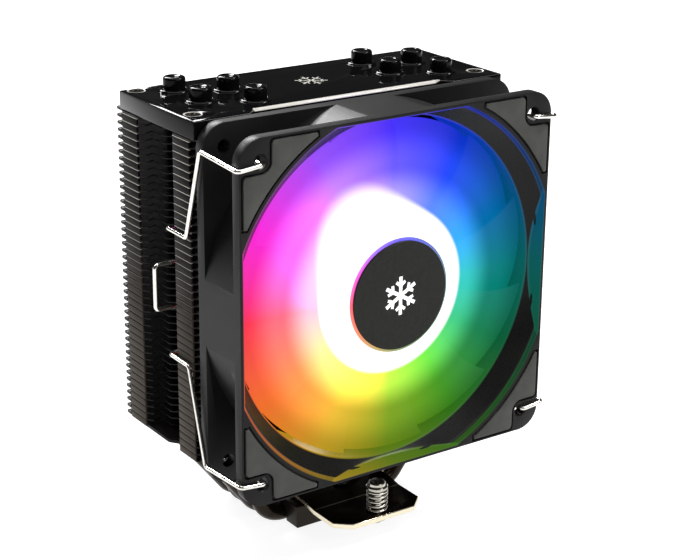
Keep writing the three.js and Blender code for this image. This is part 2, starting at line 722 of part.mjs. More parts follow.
function shaft() {
  const rear = 1.4;
  const groove = [2.3, 3.3];
  return turned([
    [0, rear],
    [SHAFT_RADIUS, rear],
    [SHAFT_RADIUS, groove[0]],
    [SHAFT_RADIUS - 0.4, groove[0]],
    [SHAFT_RADIUS - 0.4, groove[1]],
    [SHAFT_RADIUS, groove[1]],
    [SHAFT_RADIUS, HUB_FRONT - HUB_FACE - GAP],
    [0, HUB_FRONT - HUB_FACE - GAP],
  ], 14);
}

const poleStem = POLE_WIDTH / 2;
const poleSpread = Math.PI / STATOR_POLES - 0.14; // half angle of a pole shoe
const shoeRadius = statorOuter - POLE_TIP;
const shoeRoot = [Math.sqrt(shoeRadius ** 2 - poleStem ** 2), poleStem];
const shoeEnd = [shoeRadius * Math.cos(poleSpread), shoeRadius * Math.sin(poleSpread)];

function statorCore() {
  const inner = TUBE_RADIUS + SLIP;
  const root = inner + STATOR_YOKE;
  const pole = [
    [Math.sqrt(root ** 2 - poleStem ** 2), -poleStem],
    [shoeRoot[0], -shoeRoot[1]],
    [shoeEnd[0], -shoeEnd[1]],
    ...[-1, -0.5, 0, 0.5, 1].map((share) =>
      [statorOuter * Math.cos(poleSpread * share), statorOuter * Math.sin(poleSpread * share)]),
    shoeEnd,
    shoeRoot,
    [Math.sqrt(root ** 2 - poleStem ** 2), poleStem],
  ];
  const outline = Array.from({ length: STATOR_POLES }, (_, i) => {
    const turn = (2 * Math.PI * i) / STATOR_POLES;
    return pole.map(([x, y]) =>
      [x * Math.cos(turn) - y * Math.sin(turn), x * Math.sin(turn) + y * Math.cos(turn)]);
  }).flat();
  return prism(outline, STATOR_REAR, STATOR_REAR + STATOR_LENGTH, [circlePoints(0, 0, inner, 16)]);
}

function coil(index) {
  const near = TUBE_RADIUS + SLIP + STATOR_YOKE + GAP;
  const window = [poleStem + SLIP, STATOR_LENGTH / 2 + SLIP];
  const outer = window.map((size) => size + COIL_BUILD);
  const hole = [[-window[0], -window[1]], [window[0], -window[1]], [window[0], window[1]], [-window[0], window[1]]];
  // The back of the pole shoe slants from its root to its end, and the winding stops short of it.
  const slant = (shoeRoot[0] - shoeEnd[0]) / (shoeEnd[1] - shoeRoot[1]);
  const far = shoeRoot[0] - slant * (outer[0] - shoeRoot[1]) - COIL_SHOE_GAP;
  // The winding is drawn across the pole and stood up so that it runs along it.
  return prism(roundedRect(outer[0], outer[1], 1, 2), near, far, [hole])
    .rotateZ(Math.PI / 2)
    .rotateY(Math.PI / 2)
    .translate(0, 0, STATOR_REAR + STATOR_LENGTH / 2)
    .rotateZ((2 * Math.PI * index) / STATOR_POLES);
}

// ---- Wire clips ----
function wireClip(side) {
  const sideX = half + WIRE_STANDOFF; // beside the fan
  const towerX = TOWER_WIDTH / 2 + WIRE_STANDOFF; // beside the front column of tabs
  const frontY = fanRearY - FAN_DEPTH - WIRE_STANDOFF;
  const flangeY = fanRearY - FLANGE_THICKNESS - 0.5;
  const catchY = frontColumnEnd + WIRE_RADIUS + 0.9;
  const grooveX = TOWER_WIDTH / 2 - 3;
  const holeZ = FAN_HOLE_HALF - 0.6;
  const upper = [
    [FAN_HOLE_HALF, frontY + WIRE_STANDOFF + CLIP_TIP, holeZ],
    [FAN_HOLE_HALF, frontY, holeZ],
    [sideX, frontY, holeZ - 0.9],
    [sideX, flangeY, holeZ - 0.3],
    [towerX + 0.2, frontColumnStart - 1.2, CLIP_CATCH_Z],
    [towerX, catchY, CLIP_CATCH_Z],
    [grooveX, catchY + 0.1, CLIP_CATCH_Z - 0.4],
    [grooveX, catchY + 0.1, CLIP_GRIP_HALF],
    [TOWER_WIDTH / 2 + CLIP_GRIP_OUT, catchY + 0.1, CLIP_GRIP_HALF],
  ];
  const lower = upper.map(([x, y, z]) => [x, y, -z]).reverse();
  const route = [...upper, ...lower].map(([x, y, z]) => new THREE.Vector3(side * x, y, fanCentreZ + z));
  return tube(roundedCorners(route, WIRE_BEND, 2), WIRE_RADIUS, 6);
}

// ---- Assembly ----
place(cooler, 'base_block', baseBlock(), blackCoat);
pipeRows.forEach((_, i) => place(cooler, `heat_pipe_${i + 1}`, heatPipe(i), blackCoat));
place(cooler, 'fin_stack', finStack(), blackCoat);
place(cooler, 'top_cover', topCover(), glossBlack);
coverScrewPlaces.forEach((spot, i) => place(cooler, `cover_screw_${i + 1}`, coverScrew(spot), darkMetal));
pipeEnds.forEach((spot, i) => place(cooler, `pipe_cap_${i + 1}`, pipeCap(spot), glossBlack));

place(cooler, 'mounting_bar', mountingBar(), darkMetal);
barScrewPlaces.forEach((y, i) => place(cooler, `bar_screw_${i + 1}`, barScrew(y), darkMetal));
const mountEnds = [['front', -MOUNT_SCREW_Y], ['rear', MOUNT_SCREW_Y]];
for (const [end, y] of mountEnds) {
  place(cooler, `mount_screw_${end}`, mountScrew(y), wireSteel);
  place(cooler, `mount_spring_${end}`, spring(y), wireSteel);
  place(cooler, `e_clip_${end}`, eClip(y), wireSteel);
}
place(cooler, 'wire_clip_left', wireClip(-1), wireSteel);
place(cooler, 'wire_clip_right', wireClip(1), wireSteel);

place(fan, 'fan_frame', fanFrame(), plasticGrey);
corners.forEach((corner, i) => {
  place(fan, `front_pad_${i + 1}`, cornerPad(corner, FAN_DEPTH + GAP, FAN_DEPTH + GAP + FRONT_PAD), rubberGrey);
  place(fan, `rear_pad_${i + 1}`, cornerPad(corner, -GAP - REAR_PAD, -GAP), rubberGrey);
});
place(fan, 'rotor', rotorBody(), litBlade);
place(fan, 'hub_disc', cylinder(HUB_RADIUS - DISC_RIM, HUB_FRONT + GAP, HUB_FRONT + GAP + DISC_THICKNESS, 36), glossBlack);
place(fan, 'rotor_yoke', yoke(), laminated);
place(fan, 'magnet_ring', ring(magnetInner, magnetOuter, 6, 6 + MAGNET_LENGTH, 32), magnetGrey);
place(fan, 'fan_shaft', shaft(), laminated);
place(fan, 'bearing_sleeve', ring(SHAFT_RADIUS + SLIP, tubeBore - SLIP, 3.8, TUBE_LENGTH - 0.5, 16), brass);
place(fan, 'shaft_clip', ring(SHAFT_RADIUS - 0.1, tubeBore - SLIP - 0.2, 2.6, 3, 14), wireSteel);
place(fan, 'stator_core', statorCore(), laminated);
for (let i = 0; i < STATOR_POLES; i += 1) {
  place(fan, `stator_coil_${i + 1}`, coil(i), copper);
}
const boardRear = MOTOR_PLATE + GAP;
const boardFront = boardRear + BOARD_THICKNESS;
place(fan, 'circuit_board', ring(TUBE_RADIUS + SLIP, boardRadius, boardRear, boardFront, 28), boardGreen);
for (let i = 0; i < LED_COUNT; i += 1) {
  const angle = (2 * Math.PI * (i + 0.5)) / LED_COUNT;
  const led = new THREE.BoxGeometry(...LED_SIZE)
    .rotateZ(angle)
    .translate(ledRadius * Math.cos(angle), ledRadius * Math.sin(angle), boardFront + GAP / 2 + LED_SIZE[2] / 2);
  place(fan, `led_${i + 1}`, led, ledWhite);
}

export default cooler;
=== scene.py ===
"""Looks of a tower cooler with a lit fan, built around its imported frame.

Every length below is in metres unless its name ends in _mm, and MM turns millimetres into metres.
Fan pieces are drawn lying down, with the air blowing towards -Z, and are then stood up in front of the fins.
"""
from __future__ import annotations

import logging
import math
from dataclasses import dataclass, field
from enum import Enum
from typing import Iterable, Optional, Sequence, Union

import bmesh
import bpy
from mathutils import Matrix, Vector

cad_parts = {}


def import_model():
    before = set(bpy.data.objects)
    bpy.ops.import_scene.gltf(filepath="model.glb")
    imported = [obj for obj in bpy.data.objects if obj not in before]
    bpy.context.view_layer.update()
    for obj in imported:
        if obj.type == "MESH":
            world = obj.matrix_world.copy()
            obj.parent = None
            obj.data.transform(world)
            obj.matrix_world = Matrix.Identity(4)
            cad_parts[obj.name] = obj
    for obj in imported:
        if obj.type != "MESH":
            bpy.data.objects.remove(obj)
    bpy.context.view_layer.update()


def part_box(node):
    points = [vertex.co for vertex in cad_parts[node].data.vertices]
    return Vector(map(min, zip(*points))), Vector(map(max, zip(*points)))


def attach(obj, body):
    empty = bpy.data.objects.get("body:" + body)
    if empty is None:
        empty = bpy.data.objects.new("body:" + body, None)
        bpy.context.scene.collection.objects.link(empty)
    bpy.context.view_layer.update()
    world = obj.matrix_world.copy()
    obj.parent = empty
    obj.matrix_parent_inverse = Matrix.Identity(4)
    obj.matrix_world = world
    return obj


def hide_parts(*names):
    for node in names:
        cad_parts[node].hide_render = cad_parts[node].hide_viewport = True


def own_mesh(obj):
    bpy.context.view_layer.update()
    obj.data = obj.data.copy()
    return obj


LOG = logging.getLogger("cooler")
MM = 0.001
FULL_TURN = 2 * math.pi

Point = Sequence[float]
Colour = tuple[float, float, float]


class Body(str, Enum):
    """The frame's moving bodies."""

    COOLER = "cooler"
    ROTOR = "rotor"
    CLIP_LEFT = "clip_left"
    CLIP_RIGHT = "clip_right"
    RETAINER_FRONT = "retainer_front"
    RETAINER_REAR = "retainer_rear"
    SCREW_FRONT = "screw_front"
    SCREW_REAR = "screw_rear"


class Slot(str, Enum):
    """The record's material slots."""

    BLACK_COAT = "black_coat"
    GLOSS_BLACK = "gloss_black"
    PIPE_BLACK = "pipe_black"
    DARK_NICKEL = "dark_nickel"
    SCREW_STEEL = "screw_steel"
    WIRE_STEEL = "wire_steel"
    FRAME_PLASTIC = "frame_plastic"
    PAD_RUBBER = "pad_rubber"
    LIT_PLASTIC = "lit_plastic"
    DISC_BLACK = "disc_black"


def srgb(red: float, green: float, blue: float) -> Colour:
    """Turns a display colour of 0 to 255 into the linear colour that a shader takes."""

    def linear(level: float) -> float:
        """One channel, linear."""
        share = level / 255
        return share / 12.92 if share <= 0.04045 else ((share + 0.055) / 1.055) ** 2.4

    return linear(red), linear(green), linear(blue)


# ---------------------------------------------------------------------------
# Shader maths
# ---------------------------------------------------------------------------
Value = Union[float, "Signal"]


class Signal:
    """One output of a shader node. Arithmetic on it adds Math nodes."""

    def __init__(self, graph: "Graph", socket: bpy.types.NodeSocket) -> None:
        """Wraps a socket of a graph."""
        self.graph = graph
        self.socket = socket

    def _math(self, operation: str, *values: Value) -> "Signal":
        """Adds one Math node over the values."""
        return self.graph.node("ShaderNodeMath", {"operation": operation}, dict(enumerate(values)))

    def __add__(self, other: Value) -> "Signal":
        """Sum."""
        return self._math("ADD", self, other)

    def __radd__(self, other: Value) -> "Signal":
        """Sum with a number on the left."""
        return self._math("ADD", other, self)

    def __sub__(self, other: Value) -> "Signal":
        """Difference."""
        return self._math("SUBTRACT", self, other)

    def __rsub__(self, other: Value) -> "Signal":
        """Difference from a number."""
        return self._math("SUBTRACT", other, self)

    def __mul__(self, other: Value) -> "Signal":
        """Product."""
        return self._math("MULTIPLY", self, other)

    def __rmul__(self, other: Value) -> "Signal":
        """Product with a number on the left."""
        return self._math("MULTIPLY", other, self)

    def __truediv__(self, other: Value) -> "Signal":
        """Quotient."""
        return self._math("DIVIDE", self, other)

    def __rtruediv__(self, other: Value) -> "Signal":
        """Quotient of a number."""
        return self._math("DIVIDE", other, self)

    def __pow__(self, other: Value) -> "Signal":
        """Power."""
        return self._math("POWER", self, other)

    def __neg__(self) -> "Signal":
        """Negative."""
        return self._math("MULTIPLY", self, -1.0)

    def turned_from(self, other: "Signal") -> "Signal":
        """The angle of which this is the sine side and the other the cosine side."""
        return self._math("ARCTAN2", self, other)

    def fraction(self, size: float) -> "Signal":
        """The place within a repeating length, from 0 up to that length."""
        return self._math("FLOORED_MODULO", self, size)

    def size(self) -> "Signal":
        """Distance from zero."""
        return self._math("ABSOLUTE", self)

    def larger(self, other: Value) -> "Signal":
        """The larger of two values."""
        return self._math("MAXIMUM", self, other)

    def wave(self) -> "Signal":
        """Cosine."""
        return self._math("COSINE", self)

    def root(self) -> "Signal":
        """Square root."""
        return self._math("SQRT", self)

    def ramp(self, low: Value, high: Value) -> "Signal":
        """0 below the low value and 1 above the high one, with a smooth step between."""
        return self.graph.node(
            "ShaderNodeMapRange",
            {"interpolation_type": "SMOOTHSTEP"},
            {"Value": self, "From Min": low, "From Max": high, "To Min": 0.0, "To Max": 1.0},
        )


class Graph:
    """The node tree of one material, with its Principled shader."""

    def __init__(self, name: str) -> None:
        """Starts an empty material with a Principled shader wired to its output."""
        self.material = bpy.data.materials.new(name)
        self.material.use_nodes = True
        self.nodes = self.material.node_tree.nodes
        self.links = self.material.node_tree.links
        self.nodes.clear()
        self.output = self.nodes.new("ShaderNodeOutputMaterial")
        self.shader = self.nodes.new("ShaderNodeBsdfPrincipled")
        self.links.new(self.shader.outputs[0], self.output.inputs[0])

    def node(
        self,
        kind: str,
        settings: Optional[dict] = None,
        inputs: Optional[dict] = None,
        output: Union[int, str] = 0,
    ) -> Signal:
        """Adds any node.

        Args:
            kind: The node's type.
            settings: Its properties, which are set first; "stops" gives a ramp's places and colours.
            inputs: Values or signals by socket name or number.
            output: The socket to hand back.

        Returns:
            The signal of that output.
        """
        made = self.nodes.new(kind)
        for key, value in (settings or {}).items():
            if key == "stops":
                self._set_stops(made.color_ramp, value)
            else:
                setattr(made, key, value)
        for key, value in (inputs or {}).items():
            self._feed(made.inputs[key], value)
        return Signal(self, made.outputs[output])

    def _set_stops(self, ramp: bpy.types.ColorRamp, stops: Sequence[tuple[float, Colour]]) -> None:
        """Gives a colour ramp its stops."""
        while len(ramp.elements) < len(stops):
            ramp.elements.new(1.0)
        for element, (place, colour) in zip(ramp.elements, stops):
            element.position = place
            element.color = (*colour, 1.0)

    def _feed(self, socket: bpy.types.NodeSocket, value: object) -> None:
        """Links a signal to a socket, or sets its constant."""
        if isinstance(value, Signal):
            self.links.new(value.socket, socket)
        elif socket.type == "RGBA" and len(value) == 3:
            socket.default_value = (*value, 1.0)
        else:
            socket.default_value = value

    def place(self) -> Signal:
        """The place on the piece in the row frame."""
        return self.node("ShaderNodeTexCoord", output="Object")

    def axes(self, centre: Point = (0, 0, 0)) -> tuple[Signal, Signal, Signal]:
        """The three coordinates measured from a centre."""
        moved = self.node("ShaderNodeMapping", {}, {"Vector": self.place(), "Location": [-c for c in centre]})
        kind = "ShaderNodeSeparateXYZ"
        return tuple(self.node(kind, {}, {"Vector": moved}, output=axis) for axis in "XYZ")

    def thrown(self, centre: Point, source: Point) -> tuple[Signal, Signal]:
        """Where a ray from a source through each point meets the plane of the fan's face.

        Args:
            centre: The middle of that plane, whose normal is Y.
            source: Where the rays start.

        Returns:
            The distances across and up from the centre.
        """
        across, along, up = self.axes(source)
        share = (centre[1] - source[1]) / along
        return (across * share + (source[0] - centre[0]), up * share + (source[2] - centre[2]))

    def noise(
        self, size: float, detail: float = 3.0, stretch: Point = (1, 1, 1), rough: float = 0.5
    ) -> Signal:
        """A noise pattern with features of a size in metres, drawn out where the stretch is above 1."""
        scaled = self.node(
            "ShaderNodeMapping", {}, {"Vector": self.place(), "Scale": [1 / (size * s) for s in stretch]}
        )
        return self.node(
            "ShaderNodeTexNoise", {}, {"Vector": scaled, "Scale": 1.0, "Detail": detail, "Roughness": rough}
        )

    def grain(self, size: float) -> Signal:
        """A pebbled pattern, 0 at the pits and 1 on the bumps."""
        return self.node(
            "ShaderNodeTexVoronoi", {"feature": "SMOOTH_F1"}, {"Vector": self.place(), "Scale": 1 / size}
        )

    def levelness(self) -> Signal:
        """1 on a level face and 0 on an upright one."""
        facing = self.node("ShaderNodeNewGeometry", output="Normal")
        return self.node("ShaderNodeSeparateXYZ", {}, {"Vector": facing}, output="Z").size()

    def grey(self, level: Value) -> Signal:
        """A grey of the given level, which may pass 1."""
        return self.node("ShaderNodeCombineColor", {}, {0: level, 1: level, 2: level})

    def mix(self, share: Value, first: object, second: object, blend: str = "MIX") -> Signal:
        """Blends two colours."""
        settings = {"data_type": "RGBA", "blend_type": blend}
        return self.node("ShaderNodeMix", settings, {0: share, 6: first, 7: second}, output=2)

    def bump(self, height: Value, depth: float, strength: float = 1.0) -> Signal:
        """A normal from a height pattern whose full range is depth metres."""
        return self.node("ShaderNodeBump", {}, {"Height": height, "Distance": depth, "Strength": strength})

    def set(self, **sockets: object) -> None:
        """Sets sockets of the Principled shader, with underscores for spaces."""
        for key, value in sockets.items():
            self._feed(self.shader.inputs[key.replace("_", " ")], value)


# ---------------------------------------------------------------------------
# Finishes
# ---------------------------------------------------------------------------
@dataclass(frozen=True)
class Finish:
    """A surface finish. Each kind draws its own nodes."""

    name: str

    def paint(self, graph: Graph) -> None:
        """Sets the shader; every kind of finish has its own."""
        raise NotImplementedError

    def material(self) -> bpy.types.Material:
        """The finish's material, which is made once."""
        found = bpy.data.materials.get(self.name)
        if found is not None:
            return found
        graph = Graph(self.name)
        self.paint(graph)
        return graph.material


@dataclass(frozen=True)
class CoatedMetal(Finish):
    """Metal under a thin satin black coat, with fine sprayed grain and faint cloudiness."""

    colour: Colour = srgb(33, 31, 31)
    # Second tone of the cloudy patches. Where low and high heights are given, it is also painted floor light
    # on the lower part.
    patch_tone_and_floor_light: Colour = srgb(52, 48, 45)
    roughness: float = 0.34
    metallic: float = 0.6
    grain_mm: float = 0.35
    depth_mm: float = 0.012
    specular: float = 0.12
    low_mm: float = 0.0
    high_mm: float = 0.0
    fold_start_mm: float = 0.0
    fold_pitch_mm: float = 0.0
    # Colour of the painted highlight along each fold.
    fold_highlight: Colour = srgb(236, 230, 220)

    def paint(self, graph: Graph) -> None:
        """Draws the clouds and grain. Where low and high heights are given, it adds painted floor light that
        makes the lower part lighter and fades out upwards. Where a fold pitch is given, it adds painted
        highlights along the folds.
        """
        clouds = graph.noise(9 * MM, 4.0)
        grain = graph.noise(self.grain_mm * MM, 2.0)
        patch_tone_and_floor_light: object = self.patch_tone_and_floor_light
        # Painted light: below the low height the second tone stands for the pale floor's light, and it fades
        # into the coat colour by the high height.
        if self.high_mm > self.low_mm:
            _, _, up = graph.axes()
            patch_tone_and_floor_light = graph.mix((up / MM).ramp(self.low_mm, self.high_mm), self.patch_tone_and_floor_light, self.colour)
        tone = graph.mix(clouds.ramp(0.1, 0.4), self.colour, patch_tone_and_floor_light)
        # Painted highlight: a near-white line along the top fold of each tab, starting 25 mm above the low
        # height.
        if self.fold_pitch_mm:
            step = ((up / MM - self.fold_start_mm) / self.fold_pitch_mm).fraction(1.0)
            line = step.ramp(0.84, 0.88) * (1.0 - step.ramp(0.92, 0.96)) * 0.8
            tone = graph.mix(line * (up / MM).ramp(self.low_mm + 25.0, self.high_mm), tone, self.fold_highlight)
        graph.set(
            Base_Color=tone,
            Specular_IOR_Level=self.specular,
            Metallic=self.metallic,
            Roughness=self.roughness + (grain - 0.5) * 0.14 + (clouds - 0.5) * 0.12,
            Normal=graph.bump(grain, self.depth_mm * MM),
        )


@dataclass(frozen=True)
class GlossBlack(Finish):
    """Deep black lacquer with a slight ripple and a few specks of dust."""

    colour: Colour = srgb(9, 9, 10)
    roughness: float = 0.07
    # Colour of the painted highlight on the bevels.
    edge: Colour = srgb(240, 236, 228)
    edge_highlight_share: float = 0.0

    def paint(self, graph: Graph) -> None:
        """Draws the ripple, the dust and, where an edge share is given, a painted highlight on the bevelled
        edges.
        """
        ripple = graph.noise(4 * MM, 2.0)
        dust = graph.noise(0.5 * MM, 1.0).ramp(0.72, 0.8)
        tone = graph.mix(dust * 0.25, self.colour, srgb(70, 70, 72))
        # Painted highlight: faces that lean between level and upright, which are the bevels, are coloured
        # near white.
        if self.edge_highlight_share:
            lean = graph.levelness()
            edge_highlight_mask = lean.ramp(0.3, 0.5) * (1.0 - lean.ramp(0.8, 0.93))
            tone = graph.mix(edge_highlight_mask * self.edge_highlight_share, tone, self.edge)
        graph.set(
            Base_Color=tone,
            Roughness=self.roughness + dust * 0.2 + (ripple - 0.5) * 0.04,
            Normal=graph.bump(ripple, 0.006 * MM),
            Specular_IOR_Level=0.12,
        )


@dataclass(frozen=True)
class BrightSteel(Finish):
    """Plated spring wire and screws, with fine lines left by drawing or turning."""

    colour: Colour = srgb(222, 218, 208)
    roughness: float = 0.16
    lines: tuple[float, float, float] = (1.0, 1.0, 1.0)

    def paint(self, graph: Graph) -> None:
        """Draws the lines and the thin plating stains."""
        scratches = graph.noise(0.18 * MM, 2.0, self.lines)
        stains = graph.noise(3 * MM, 3.0)
        graph.set(
            Base_Color=graph.mix(stains.ramp(0.45, 0.75) * 0.35, self.colour, srgb(160, 152, 138)),
            Metallic=1.0,
            Roughness=self.roughness + (scratches - 0.5) * 0.12 + stains.ramp(0.5, 0.8) * 0.08,
            Normal=graph.bump(scratches, 0.008 * MM),
        )


@dataclass(frozen=True)
class DarkNickel(Finish):
    """Black nickel on stamped steel, with rolled grain along the bar and brighter worn spots."""

    colour: Colour = srgb(64, 56, 46)
    bright: Colour = srgb(112, 98, 80)
    roughness: float = 0.22
    # Colour of the painted highlight on upright faces and creases.
    edge: Colour = srgb(236, 226, 200)
    crease_mm: float = 0.0

    def paint(self, graph: Graph) -> None:
        """Draws the rolled grain, the brighter spots of wear and, for a bent bar, a painted highlight that
        colours its upright cut faces, bevels and creases cream.
        """
        rolled = graph.noise(0.4 * MM, 3.0, (1, 14, 1))
        patches = graph.noise(7 * MM, 3.0)
        tone: object = graph.mix(patches.ramp(0.5, 0.8) * 0.5, self.colour, self.bright)
        # Painted highlight: every face that is not level, and a thin line at each crease, is coloured cream.
        if self.crease_mm:
            lean = graph.levelness()
            _, along, _ = graph.axes()
            crease_highlight = 1.0 - ((along.size() / MM) - self.crease_mm).size().ramp(0.12, 0.42)
            tone = graph.mix((1.0 - lean.ramp(0.75, 0.95)).larger(crease_highlight), tone, self.edge)
        graph.set(
            Base_Color=tone,
            Metallic=1.0,
            Roughness=self.roughness + (rolled - 0.5) * 0.16,
            Normal=graph.bump(rolled, 0.01 * MM),
        )


@dataclass(frozen=True)
class MouldedPlastic(Finish):
    """Dark plastic with the fine spark-eroded grain of its mould."""

    colour: Colour = srgb(21, 21, 21)
    pale: Colour = srgb(27, 27, 26)
    roughness: float = 0.42
    grain_mm: float = 0.28
    depth_mm: float = 0.02
    specular: float = 0.14

    def paint(self, graph: Graph) -> None:
        """Draws the grain and the flow marks."""
        grain = graph.noise(self.grain_mm * MM, 2.0, rough=0.6)
        flow = graph.noise(14 * MM, 3.0)
        graph.set(
            Base_Color=graph.mix(flow.ramp(0.3, 0.75), self.colour, self.pale),
            Roughness=self.roughness + (grain - 0.5) * 0.2 + (flow - 0.5) * 0.08,
            Normal=graph.bump(grain, self.depth_mm * MM),
            Specular_IOR_Level=self.specular,
        )


@dataclass(frozen=True)
class PadRubber(Finish):
    """Soft grey rubber with a pebbled face and a little bloom."""

    colour: Colour = srgb(54, 54, 51)
    bloom: Colour = srgb(70, 70, 66)

    def paint(self, graph: Graph) -> None:
        """Draws the pebbles and the bloom."""
        pebbles = graph.grain(0.3 * MM)
        clouds = graph.noise(6 * MM, 4.0)
        graph.set(
            Base_Color=graph.mix(clouds.ramp(0.35, 0.7) * 0.6, self.colour, self.bloom),
            Roughness=0.58 + (clouds - 0.5) * 0.16,
            Normal=graph.bump(pebbles, 0.02 * MM),
            Specular_IOR_Level=0.4,
        )


# Bright enough to come out pure white.
WHITE_HOT: Colour = (1.25, 1.25, 1.25)


@dataclass(frozen=True)
class Glow:
    """The diodes' light on the fan: a wheel of hues, strongest and whitest by the hub."""

    hues: tuple[Colour, ...] = (
        srgb(70, 50, 250), srgb(10, 50, 200), srgb(0, 80, 140), srgb(0, 100, 100), srgb(10, 100, 60),
        srgb(50, 120, 20), srgb(100, 130, 20), srgb(190, 150, 30), srgb(240, 110, 40), srgb(250, 50, 80),
        srgb(250, 40, 220), srgb(150, 80, 250),
    )
    bright_side: float = math.radians(60)
    bright_power: int = 3

    def wheel(self, graph: Graph, angle: Signal) -> Signal:
        """The hues, clockwise from the top as seen from the front."""
        count = len(self.hues)
        stops = [(i / count, self.hues[i % count]) for i in range(count + 1)]
        return graph.node("ShaderNodeValToRGB", {"stops": stops}, {"Fac": (angle / FULL_TURN).fraction(1.0)})

    def cast(self, graph: Graph, angle: Signal, strength: Value, haze: Value) -> Signal:
        """The hue at an angle, made stronger and then veiled in white."""
        hue = graph.mix(1.0, self.wheel(graph, angle), graph.grey(strength), "MULTIPLY")
        return graph.mix(1.0, hue, graph.grey(haze), "ADD")

    def lean(self, angle: Signal) -> Signal:
        """From 0 to 1 on the side where the diodes are brightest."""
        return ((angle + self.bright_side).wave() * 0.5 + 0.5) ** self.bright_power


@dataclass(frozen=True)
class LitBlades(Finish):
    """Frosted blade plastic that carries the diodes' colours outwards from a white-hot hub."""

    centre: tuple[float, float, float] = (0.0, 0.0, 0.0)
    source: tuple[float, float, float] = (0.0, -1.0, 0.0)
    glow: Glow = field(default_factory=Glow)
    white_radius_mm: float = 26.8
    white_shift_mm: float = 6.0
    white_edge_mm: float = 1.8
    white_fade_mm: float = 9.0
    white_side: float = math.radians(30)
    white_power: int = 12
    near_mm: tuple[float, float] = (30.0, 42.0)
    halfway_mm: tuple[float, float] = (43.0, 55.0)
    near_gain: float = 3.0
    halfway_gain: float = 0.7
    near_haze: float = 0.45
    halfway_haze: float = 0.13
    even_haze: float = 0.04

    def paint(self, graph: Graph) -> None:
        """Draws the wheels of colour, from the hub outwards."""
        across, up = graph.thrown(self.centre, self.source)
        radius = (across * across + up * up).root() / MM
        angle = across.turned_from(up)
        lean = self.glow.lean(angle)
        near = 1.0 - radius.ramp(*self.near_mm)
        halfway = 1.0 - radius.ramp(*self.halfway_mm)
        strength = 1.0 + halfway * self.halfway_gain + near * self.near_gain
        haze = halfway * lean * self.halfway_haze + near * (self.even_haze + lean * self.near_haze)
        colour = self.glow.cast(graph, angle, strength, haze)
        # The white spreads further on the side where the light is strongest.
        spread = ((angle + self.white_side).wave() * 0.5 + 0.5) ** self.white_power
        start = self.white_radius_mm + spread * self.white_shift_mm
        whiteness = 1.0 - radius.ramp(start, start + self.white_edge_mm + spread * self.white_fade_mm)
        streaks = graph.noise(9 * MM, 2.0)
        shade = 0.94 + streaks * 0.12
        colour = graph.mix(1.0, colour, graph.grey(shade), "MULTIPLY")
        graph.set(
            Base_Color=graph.mix(whiteness, srgb(16, 17, 18), srgb(120, 120, 120)),
            Emission_Color=graph.mix(whiteness, colour, WHITE_HOT),
            Emission_Strength=1.0,
            Roughness=0.5 + (streaks - 0.5) * 0.12,
            Specular_IOR_Level=0.03,
        )


@dataclass(frozen=True)
class LitCase(MouldedPlastic):
    """The case's plastic: polished and lit by the rotor in the duct, on its flat walls and along the lip."""

    centre: tuple[float, float, float] = (0.0, 0.0, 0.0)
    glow: Glow = field(default_factory=Glow)
    duct_mm: float = 57.8
    lip_mm: float = 64.0
    square_mm: float = 58.8
    front_mm: float = 17.5
    duct_level: float = 0.8
    lip_level: float = 0.4
    lip_front_mm: float = 22.6
    flat_level: float = 0.7
    flat_mm: float = 0.6
    barrel_mm: float = 60.3
    flange_mm: float = 21.4

    def paint(self, graph: Graph) -> None:
        """Draws the grain outside, the polish inside and the colours that spill on it."""
        super().paint(graph)
        across, along, up = graph.axes(self.centre)
        radius = (across * across + up * up).root() / MM
        spill = self.glow.wheel(graph, across.turned_from(up))
        depth = along / MM
        reach = across.size().larger(up.size()) / MM
        front = 1.0 - depth.ramp(-self.front_mm, -self.front_mm + 0.4)
        within = (1.0 - reach.ramp(self.square_mm + 0.1, self.square_mm + 0.4)) * front
        duct = 1.0 - radius.ramp(self.duct_mm + 0.1, self.duct_mm + 0.6)
        inside_lip = 1.0 - radius.ramp(self.lip_mm, self.lip_mm + 0.3)
        lip = radius.ramp(self.lip_mm - 1.0, self.lip_mm - 0.8) * inside_lip
        lip = lip * (1.0 - depth.ramp(-self.lip_front_mm, -self.lip_front_mm + 0.3))
        flat = reach.ramp(self.square_mm - self.flat_mm, self.square_mm - self.flat_mm + 0.3) * inside_lip
        # The barrel's outside, behind the front flange, is at the same reach but stays dark.
        outside = radius.ramp(self.barrel_mm - 0.3, self.barrel_mm - 0.1)
        behind = outside * depth.ramp(-self.flange_mm, -self.flange_mm + 0.3)
        polish = ((1.0 - radius.ramp(self.lip_mm, self.lip_mm + 0.4)) * within).larger(duct)
        grain = graph.noise(self.grain_mm * MM, 2.0, rough=0.6)
        level = duct * self.duct_level + lip * within * self.lip_level
        level = level.larger(flat * within * (1.0 - behind) * self.flat_level)
        light = graph.grey(level)
        graph.set(
            Emission_Color=graph.mix(1.0, spill, light, "MULTIPLY"),
            Emission_Strength=1.0,
            Roughness=self.roughness - polish * 0.14 + (grain - 0.5) * 0.16,
        )


@dataclass(frozen=True)
class LitHub(Finish):
    """The hub's frosted shell: white with light at its side, and coloured where it rims the disc."""

    centre: tuple[float, float, float] = (0.0, 0.0, 0.0)
    glow: Glow = field(default_factory=Glow)
    radius_mm: float = 19.4

    def paint(self, graph: Graph) -> None:
        """Draws the coloured rim and the white side."""
        across, _, up = graph.axes(self.centre)
        radius = (across * across + up * up).root() / MM
        rim = self.glow.cast(graph, across.turned_from(up), 1.0, 0.06)
        side = radius.ramp(self.radius_mm - 0.22, self.radius_mm - 0.08)
        clouds = graph.noise(3 * MM, 2.0)
        graph.set(
            Base_Color=graph.mix(clouds, srgb(60, 60, 64), srgb(76, 76, 80)),
            Emission_Color=graph.mix(side, rim, WHITE_HOT),
            Emission_Strength=1.0,
            Roughness=0.3 + (clouds - 0.5) * 0.1,
        )


